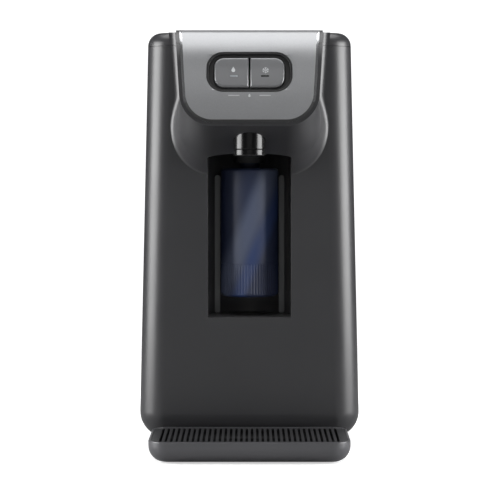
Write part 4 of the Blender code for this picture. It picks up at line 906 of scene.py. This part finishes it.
def printed(outlines, place, low, name, body):
    """Thin shapes in printing ink that lie on a face of the leaning frame."""
    shape = bmesh.new()
    for outline in outlines:
        foot = [shape.verts.new((x + place[0], y + place[1], low)) for x, y in outline]
        head = [shape.verts.new((v.co.x, v.co.y, low + SYMBOL_THICKNESS)) for v in foot]
        shape.faces.new(foot)
        shape.faces.new(head)
        join_rings(shape, foot, head)
    piece = on_fascia(from_shape(name, shape))
    return present(piece, name, INK, body, slot="light")


def buttons():
    """Both push buttons with their symbols and light guides."""
    symbols = {"natural": drop_symbol(), "cold": snowflake_symbol()}
    symbol_foot = BUTTON_FRONT - 0.02 * MM
    for side, name, guide in ((-1, "natural", LIT_GUIDE), (1, "cold", DARK_GUIDE)):
        place = (side * 14 * MM, -4.3 * MM)
        tool = slab([rounded_outline(*(v + 0.15 * MM for v in LIGHT_SLIT), 6)], LIGHT_FLOOR, 10 * MM)
        tool.data.transform(Matrix.Translation((*place, 0)))
        x = side * 17 * MM
        stem = on_fascia(cylinder(STEM_RADIUS, (x, 0, STEM_END), (x, 0, BUTTON_BACK + MM)))
        cap = cut(join(button_cap(side), stem), on_fascia(tool))
        body = f"{name}_button_set"
        present(cap, f"{name}_cap", KEYS, body, f"{name}_button", slot="button")
        light = slab([rounded_outline(*LIGHT_SLIT, 6)], LIGHT_FLOOR + GAP, BUTTON_FRONT)
        light.data.transform(Matrix.Translation((*place, 0)))
        present(on_fascia(light), f"{name}_light", guide, body, f"{name}_light_guide", slot="light",
                width=0.12 * MM, segments=2)
        printed(symbols[name], (side * 14.5 * MM, 1.2 * MM), symbol_foot, f"{name}_symbol", body)


MARK_DROP, MARK_SPREAD = 61 * MM, 14 * MM       # place below the body's top, and the lines' offsets


def fascia_marks():
    """A drop between two short lines, printed under the recess."""
    centre = BODY_TOP - MARK_DROP
    place = (Matrix.Translation((0, BODY_FRONT - head_reach(centre), centre))
             @ Matrix.Rotation(math.pi / 2 - head_tilt(centre), 4, "X"))
    line = rounded_outline(5 * MM, 0.3 * MM, 0.25 * MM, 3)
    shapes = {"mark_line_left": ([line], -MARK_SPREAD), "mark_line_right": ([line], MARK_SPREAD),
              "mark_drop": ([[(x * 0.6, y * 0.6 - 0.5 * MM) for x, y in drop_symbol()[0]]], 0.0)}
    for name, (outlines, x) in shapes.items():
        piece = printed(outlines, (x, 0), -0.04 * MM, name, "cabinet")
        piece.data.transform(LEAN.inverted())
        piece.data.transform(place)


# ---------------------------------------------------------------- spout, niche and filter

def nozzle():
    """Gloss spout in two turned parts with a groove between them."""
    channel = 4 * MM
    place = (0, NOZZLE_Y, 0)
    shoulder = FASCIA_FOOT + 1.2 * MM
    body = [(channel, NOZZLE_HIGH.z), (7 * MM, NOZZLE_HIGH.z), (7 * MM, shoulder),
            (NOZZLE_RADIUS, shoulder), (NOZZLE_RADIUS, NOZZLE_LOW.z), (channel, NOZZLE_LOW.z)]
    present(turned(body, place, closed=True), "spout_body", GLOSS_BLACK, "cabinet", "nozzle_body",
            slot="trim", width=0.5 * MM)
    tip = [(channel, TIP_HIGH.z), (NOZZLE_RADIUS, TIP_HIGH.z), (NOZZLE_RADIUS, TIP_LOW.z + MM),
           (NOZZLE_RADIUS - MM, TIP_LOW.z), (channel, TIP_LOW.z)]
    present(turned(tip, place, closed=True), "spout_tip", GLOSS_BLACK, "cabinet", "nozzle_tip",
            slot="trim", width=0.5 * MM)


FILTER_LOW, FILTER_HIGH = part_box("filter_cartridge")
FILTER_Y = (FILTER_LOW.y + FILTER_HIGH.y) / 2
FILTER_RADIUS = FILTER_HIGH.x


def niche_slab(radius, front, low, high):
    outline = [(radius, front), *arc((0, FILTER_Y), radius, 0, 180, 72), (-radius, front)]
    return slab([outline], low, high, "niche")


RAIL_HALF, RAIL_HEIGHT, RAIL_PLACE, RAIL_DEPTH = 2.7 * MM, 132 * MM, 30.6 * MM, 1.2 * MM


def niche():
    """Pocket behind the opening, with a hole above for the filter's neck and two rails inside."""
    front = NICHE_LOW.y
    piece = niche_slab(NICHE_RADIUS + NICHE_WALL, front, NICHE_LOW.z, NICHE_HIGH.z)
    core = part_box("filter_valve_core")[1].x
    cut(piece, niche_slab(NICHE_RADIUS, front - 5 * MM, NICHE_FLOOR, NICHE_CEILING),
        cylinder(core + PLAY, (0, FILTER_Y, NICHE_CEILING - MM), (0, FILTER_Y, NICHE_HIGH.z + MM)))
    present(piece, "niche_pocket", NICHE_GREY_PAINTED_LIGHT, "cabinet", "filter_niche_liner", slot="trim",
            width=0.5 * MM, segments=2)
    wall = FILTER_Y + math.sqrt(NICHE_RADIUS ** 2 - (RAIL_PLACE + RAIL_HALF) ** 2)
    for side, name in ((-1, "left"), (1, "right")):
        outline = rounded_outline(RAIL_HALF, RAIL_HEIGHT / 2, RAIL_HALF - 0.1 * MM, 10)
        rail = slab([outline], -wall, RAIL_DEPTH - wall)
        middle = (side * RAIL_PLACE, 0, NICHE_FLOOR + RAIL_HEIGHT / 2 + 0.1 * MM)
        rail.data.transform(Matrix.Translation(middle) @ Matrix.Rotation(math.pi / 2, 4, "X"))
        present(rail, f"niche_rail_{name}", RAIL_GREY, "cabinet", slot="trim", width=0.4 * MM,
                segments=2)


def cartridge():
    """Filter cartridge: film-covered can, fluted grip at its foot, neck with a seal groove."""
    grip_top = FILTER_LOW.z + 31 * MM
    grip = FILTER_RADIUS - 0.1 * MM
    neck = 9 * MM
    mouth, top = FILTER_HIGH.z, FILTER_HIGH.z - 14 * MM
    groove_top, groove_foot = mouth - 3 * MM, mouth - 5.6 * MM
    groove = neck - 1.4 * MM
    profile = [(0, mouth), (neck - MM, mouth), (neck, mouth - MM), (neck, groove_top),
               (groove, groove_top), (groove, groove_foot), (neck, groove_foot), (neck, top)]
    profile += arc((FILTER_RADIUS - 3 * MM, top - 3 * MM), 3 * MM, 90, 0, 8)
    profile += [(FILTER_RADIUS, grip_top + MM), (FILTER_RADIUS - 0.4 * MM, grip_top)]
    profile += [(grip, grip_top - 1.2 * MM), (grip, FILTER_LOW.z + 5 * MM)]
    profile += arc((FILTER_RADIUS - 4 * MM, FILTER_LOW.z + 4 * MM), 4 * MM, 0, -90, 8)
    profile.append((0, FILTER_LOW.z))
    flutes, depth = 64, 0.5 * MM

    def fluted(radius, height, angle):
        inside = FILTER_LOW.z + 3 * MM < height < grip_top - MM
        return radius - depth * (0.5 + 0.5 * math.cos(flutes * angle)) if inside else radius

    piece = turned(profile, (0, FILTER_Y, 0), steps=flutes * 8, radius_at=fluted)
    present(piece, "cartridge_can", FILM_AND_SHEEN, "cartridge", "filter_cartridge", slot="cartridge", angle=40)


# ---------------------------------------------------------------- drip tray

TRAY_LOW, TRAY_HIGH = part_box("drip_tray")
TRAY_HALF = TRAY_HIGH.x
TRAY_FRONT, TRAY_BACK = TRAY_LOW.y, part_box("drip_grille")[1].y + 2.3 * MM
TRAY_BOTTOM, TRAY_TOP = TRAY_LOW.z, TRAY_HIGH.z
TRAY_CORNER, TRAY_ROUNDING = 18 * MM, 14 * MM
TRAY_WALL, LEDGE = 2 * MM, 2 * MM
RUNNER_PLACE, RUNNER_HALF, RUNNER_ROOT = 38 * MM, 7 * MM, 12 * MM
RUNNER_LOW, RUNNER_HIGH = 3 * MM, 6 * MM


def tray_ring(z, inset):
    radius = max(TRAY_CORNER - inset, SMALLEST_CORNER)
    return plan_ring(TRAY_HALF - inset, TRAY_FRONT + inset, TRAY_BACK - inset, radius, z)


def tray_levels(skin, widest, steps=12):
    """Rings of the tray's rounded lower edge."""
    radius = TRAY_ROUNDING - skin
    start = math.asin((TRAY_ROUNDING - widest) / radius)
    turns = [start + (math.pi / 2 - start) * i / steps for i in range(steps + 1)]
    return [tray_ring(TRAY_BOTTOM + TRAY_ROUNDING - radius * math.cos(t),
                      TRAY_ROUNDING - radius * math.sin(t)) for t in turns]


def tray():
    """Shallow tray with a ledge for the grille, on two flat runners."""
    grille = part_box("drip_grille")[0].z
    outer = [*tray_levels(0.0, 11 * MM), tray_ring(TRAY_TOP - 0.7 * MM, 0.0),
             tray_ring(TRAY_TOP - 0.2 * MM, 0.2 * MM), tray_ring(TRAY_TOP, 0.7 * MM)]
    piece = loft(outer, "tray")
    for side in (-1, 1):
        low = (side * RUNNER_PLACE - RUNNER_HALF, TRAY_BACK - RUNNER_ROOT, RUNNER_LOW)
        join(piece, box(low, (side * RUNNER_PLACE + RUNNER_HALF, TRAY_HIGH.y, RUNNER_HIGH)))
    skin = TRAY_WALL + LEDGE
    basin = [*tray_levels(skin, 13 * MM), tray_ring(grille - GAP, skin),
             tray_ring(grille - GAP, TRAY_WALL), tray_ring(TRAY_TOP + MM, TRAY_WALL)]
    cut(piece, loft(basin, "basin"))
    present(piece, "tray_pan", TRAY_GREY_PAINTED_LIGHT, "tray", "drip_tray", slot="shell", angle=30)


def grille():
    """Slotted plate on the tray's ledge, each slot with round ends."""
    low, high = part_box("drip_grille")
    margin, count, pitch, width = 9 * MM, 34, 4.8 * MM, 2.4 * MM
    front, back = TRAY_FRONT + margin, TRAY_BACK - margin
    outlines = [[(x, y) for x, y, _ in tray_ring(low.z, TRAY_WALL + GAP)]]
    for i in range(count):
        middle = (i - (count - 1) / 2) * pitch
        slot = rounded_outline(width / 2, (back - front) / 2, width / 2 - 0.02 * MM, 5)
        outlines.append([(x + middle, y + (front + back) / 2) for x, y in slot])
    piece = slab(outlines, low.z, high.z, "grille")
    present(piece, "grille_plate", SHELL, "grille", "drip_grille", slot="matte", width=0.35 * MM,
            segments=2)


# ---------------------------------------------------------------- pieces kept from the frame

BY_SLOT = {"shell": SHELL, "fascia": SILVER, "trim": GLOSS_BLACK, "button": KEYS,
           "light": LIT_GUIDE, "cartridge": FILM_AND_SHEEN, "matte": SATIN_BLACK, "rubber": RUBBER,
           "white": ACETAL, "foam": FOAM, "aluminium": ALUMINIUM, "steel": STEEL,
           "ceramic": ALUMINA, "circuit": BOARD, "tubing": TUBING}


def smooth_by_angle():
    """Node group that smooths faces and keeps edges over 35 degrees sharp."""
    group = bpy.data.node_groups.new("smooth_by_angle", "GeometryNodeTree")
    group.interface.new_socket("Geometry", in_out="INPUT", socket_type="NodeSocketGeometry")
    group.interface.new_socket("Geometry", in_out="OUTPUT", socket_type="NodeSocketGeometry")
    start = add(group, "NodeGroupInput")
    faces = add(group, "GeometryNodeSetShadeSmooth", {"Geometry": start.outputs[0]}, domain="FACE")
    angle = add(group, "GeometryNodeInputMeshEdgeAngle")
    sharp = add(group, "ShaderNodeMath", {0: angle.outputs["Unsigned Angle"], 1: math.radians(35)},
                operation="GREATER_THAN")
    edges = add(group, "GeometryNodeSetShadeSmooth", {"Geometry": faces.outputs[0],
                                                      "Selection": sharp.outputs[0]}, domain="EDGE")
    edges.inputs["Shade Smooth"].default_value = False
    add(group, "NodeGroupOutput", {0: edges.outputs[0]})
    return group


def keep_frame_nodes():
    """Give every remaining CAD node its real finish and smooth shading."""
    smoothing = smooth_by_angle()
    for name, node in NODES.items():
        if node.hide_render:
            continue
        slot_name = node.data.materials[0].name.split(".")[0]
        node.data.materials.clear()
        node.data.materials.append(BY_SLOT[slot_name])
        weld = node.modifiers.new("weld", "WELD")
        weld.merge_threshold = 1e-6
        node.modifiers.new("smoothing", "NODES").node_group = smoothing


# ---------------------------------------------------------------- studio

def softbox(name, place, target, size, power):
    """A rectangular white area light that faces a target."""
    light = bpy.data.lights.new(name, "AREA")
    light.shape = "RECTANGLE"
    light.size, light.size_y = size
    light.energy = power
    made = link(name, light)
    made.location = place
    made.rotation_euler = (Vector(target) - Vector(place)).to_track_quat("-Z", "Y").to_euler()


FLOOR_HALF, FLOOR_FRONT, FLOOR_BACK, FLOOR_THICKNESS = 1.2, 2.6, 0.9, 0.02
FLOOR_GLOW = 0.55               # makes the floor white to the camera
DIM_SURROUNDINGS, SEEN_SURROUNDINGS = 0.015, 1.2


def studio():
    """White floor and surroundings as the camera sees them, darker in reflections, and soft lights."""
    floor = box((-FLOOR_HALF, -FLOOR_FRONT, -FLOOR_THICKNESS), (FLOOR_HALF, FLOOR_BACK, 0.0), "floor")
    made, tree, shader = new_material("pale_floor", IOR=1.45)
    _, mixed, _ = uneven_finish(tree, shader, ("#EDEDED", "#F2F2F2"), (0.75, 0.85), 500 * MM,
                                5 * MM, 0.01 * MM)
    # Reflections see a greyer floor, as black cards beside the object would give.
    seen = add(tree, "ShaderNodeLightPath").outputs["Is Camera Ray"]
    glow = add(tree, "ShaderNodeMath", {0: seen, 1: FLOOR_GLOW}, operation="MULTIPLY")
    tint = add(tree, "ShaderNodeMix", {"Factor": seen, 6: linear("#ACACAC"), 7: mixed.outputs[2]},
               data_type="RGBA")
    tree.links.new(tint.outputs[2], shader.inputs["Base Color"])
    tree.links.new(glow.outputs[0], shader.inputs["Emission Strength"])
    shader.inputs["Emission Color"].default_value = (1, 1, 1, 1)
    floor.data.materials.append(made)
    world = bpy.data.worlds.new("studio")
    world.use_nodes = True
    bpy.context.scene.world = world
    tree = world.node_tree
    seen = add(tree, "ShaderNodeLightPath").outputs["Is Camera Ray"]
    level = add(tree, "ShaderNodeMix", {"Factor": seen, 2: DIM_SURROUNDINGS, 3: SEEN_SURROUNDINGS},
                data_type="FLOAT")
    tree.links.new(level.outputs[0], tree.nodes["Background"].inputs["Strength"])
    tree.nodes["Background"].inputs["Color"].default_value = (1, 1, 1, 1)
    middle = (0, 0, 0.2)
    softbox("overhead", (0, 0.02, 1.5), middle, (1.4, 1.05), 17)
    softbox("front_top", (0, -1.55, 1.35), (0, 0, 0.3), (1.6, 0.9), 3.4)
    for side, name in ((-1, "left"), (1, "right")):
        softbox(f"{name}_strip", (side * 1.3, -0.36, 0.3), (0, -0.25, 0.3), (0.95, 1.3), 42)
    softbox("front_fill", (0, -2.8, 0.7), middle, (1.8, 1.0), 2.2)


EYE = (0.0005, -2.035, 0.277)
SENSOR, LENS = 36, 151.1        # millimetres
SHIFT = -0.1976


def camera():
    """Level view from the front, above the object's middle; the shift lowers the frame onto it."""
    data = bpy.data.cameras.new("camera")
    data.lens = LENS
    data.sensor_width = SENSOR
    data.shift_y = SHIFT
    data.clip_end = 20
    made = link("camera", data)
    made.location = EYE
    made.rotation_euler = (math.pi / 2, 0, 0)
    bpy.context.scene.camera = made


shell()
fascia()
bezel()
buttons()
fascia_marks()
nozzle()
niche()
cartridge()
tray()
grille()
keep_frame_nodes()
studio()
camera()
bpy.context.scene.view_settings.view_transform = "Standard"
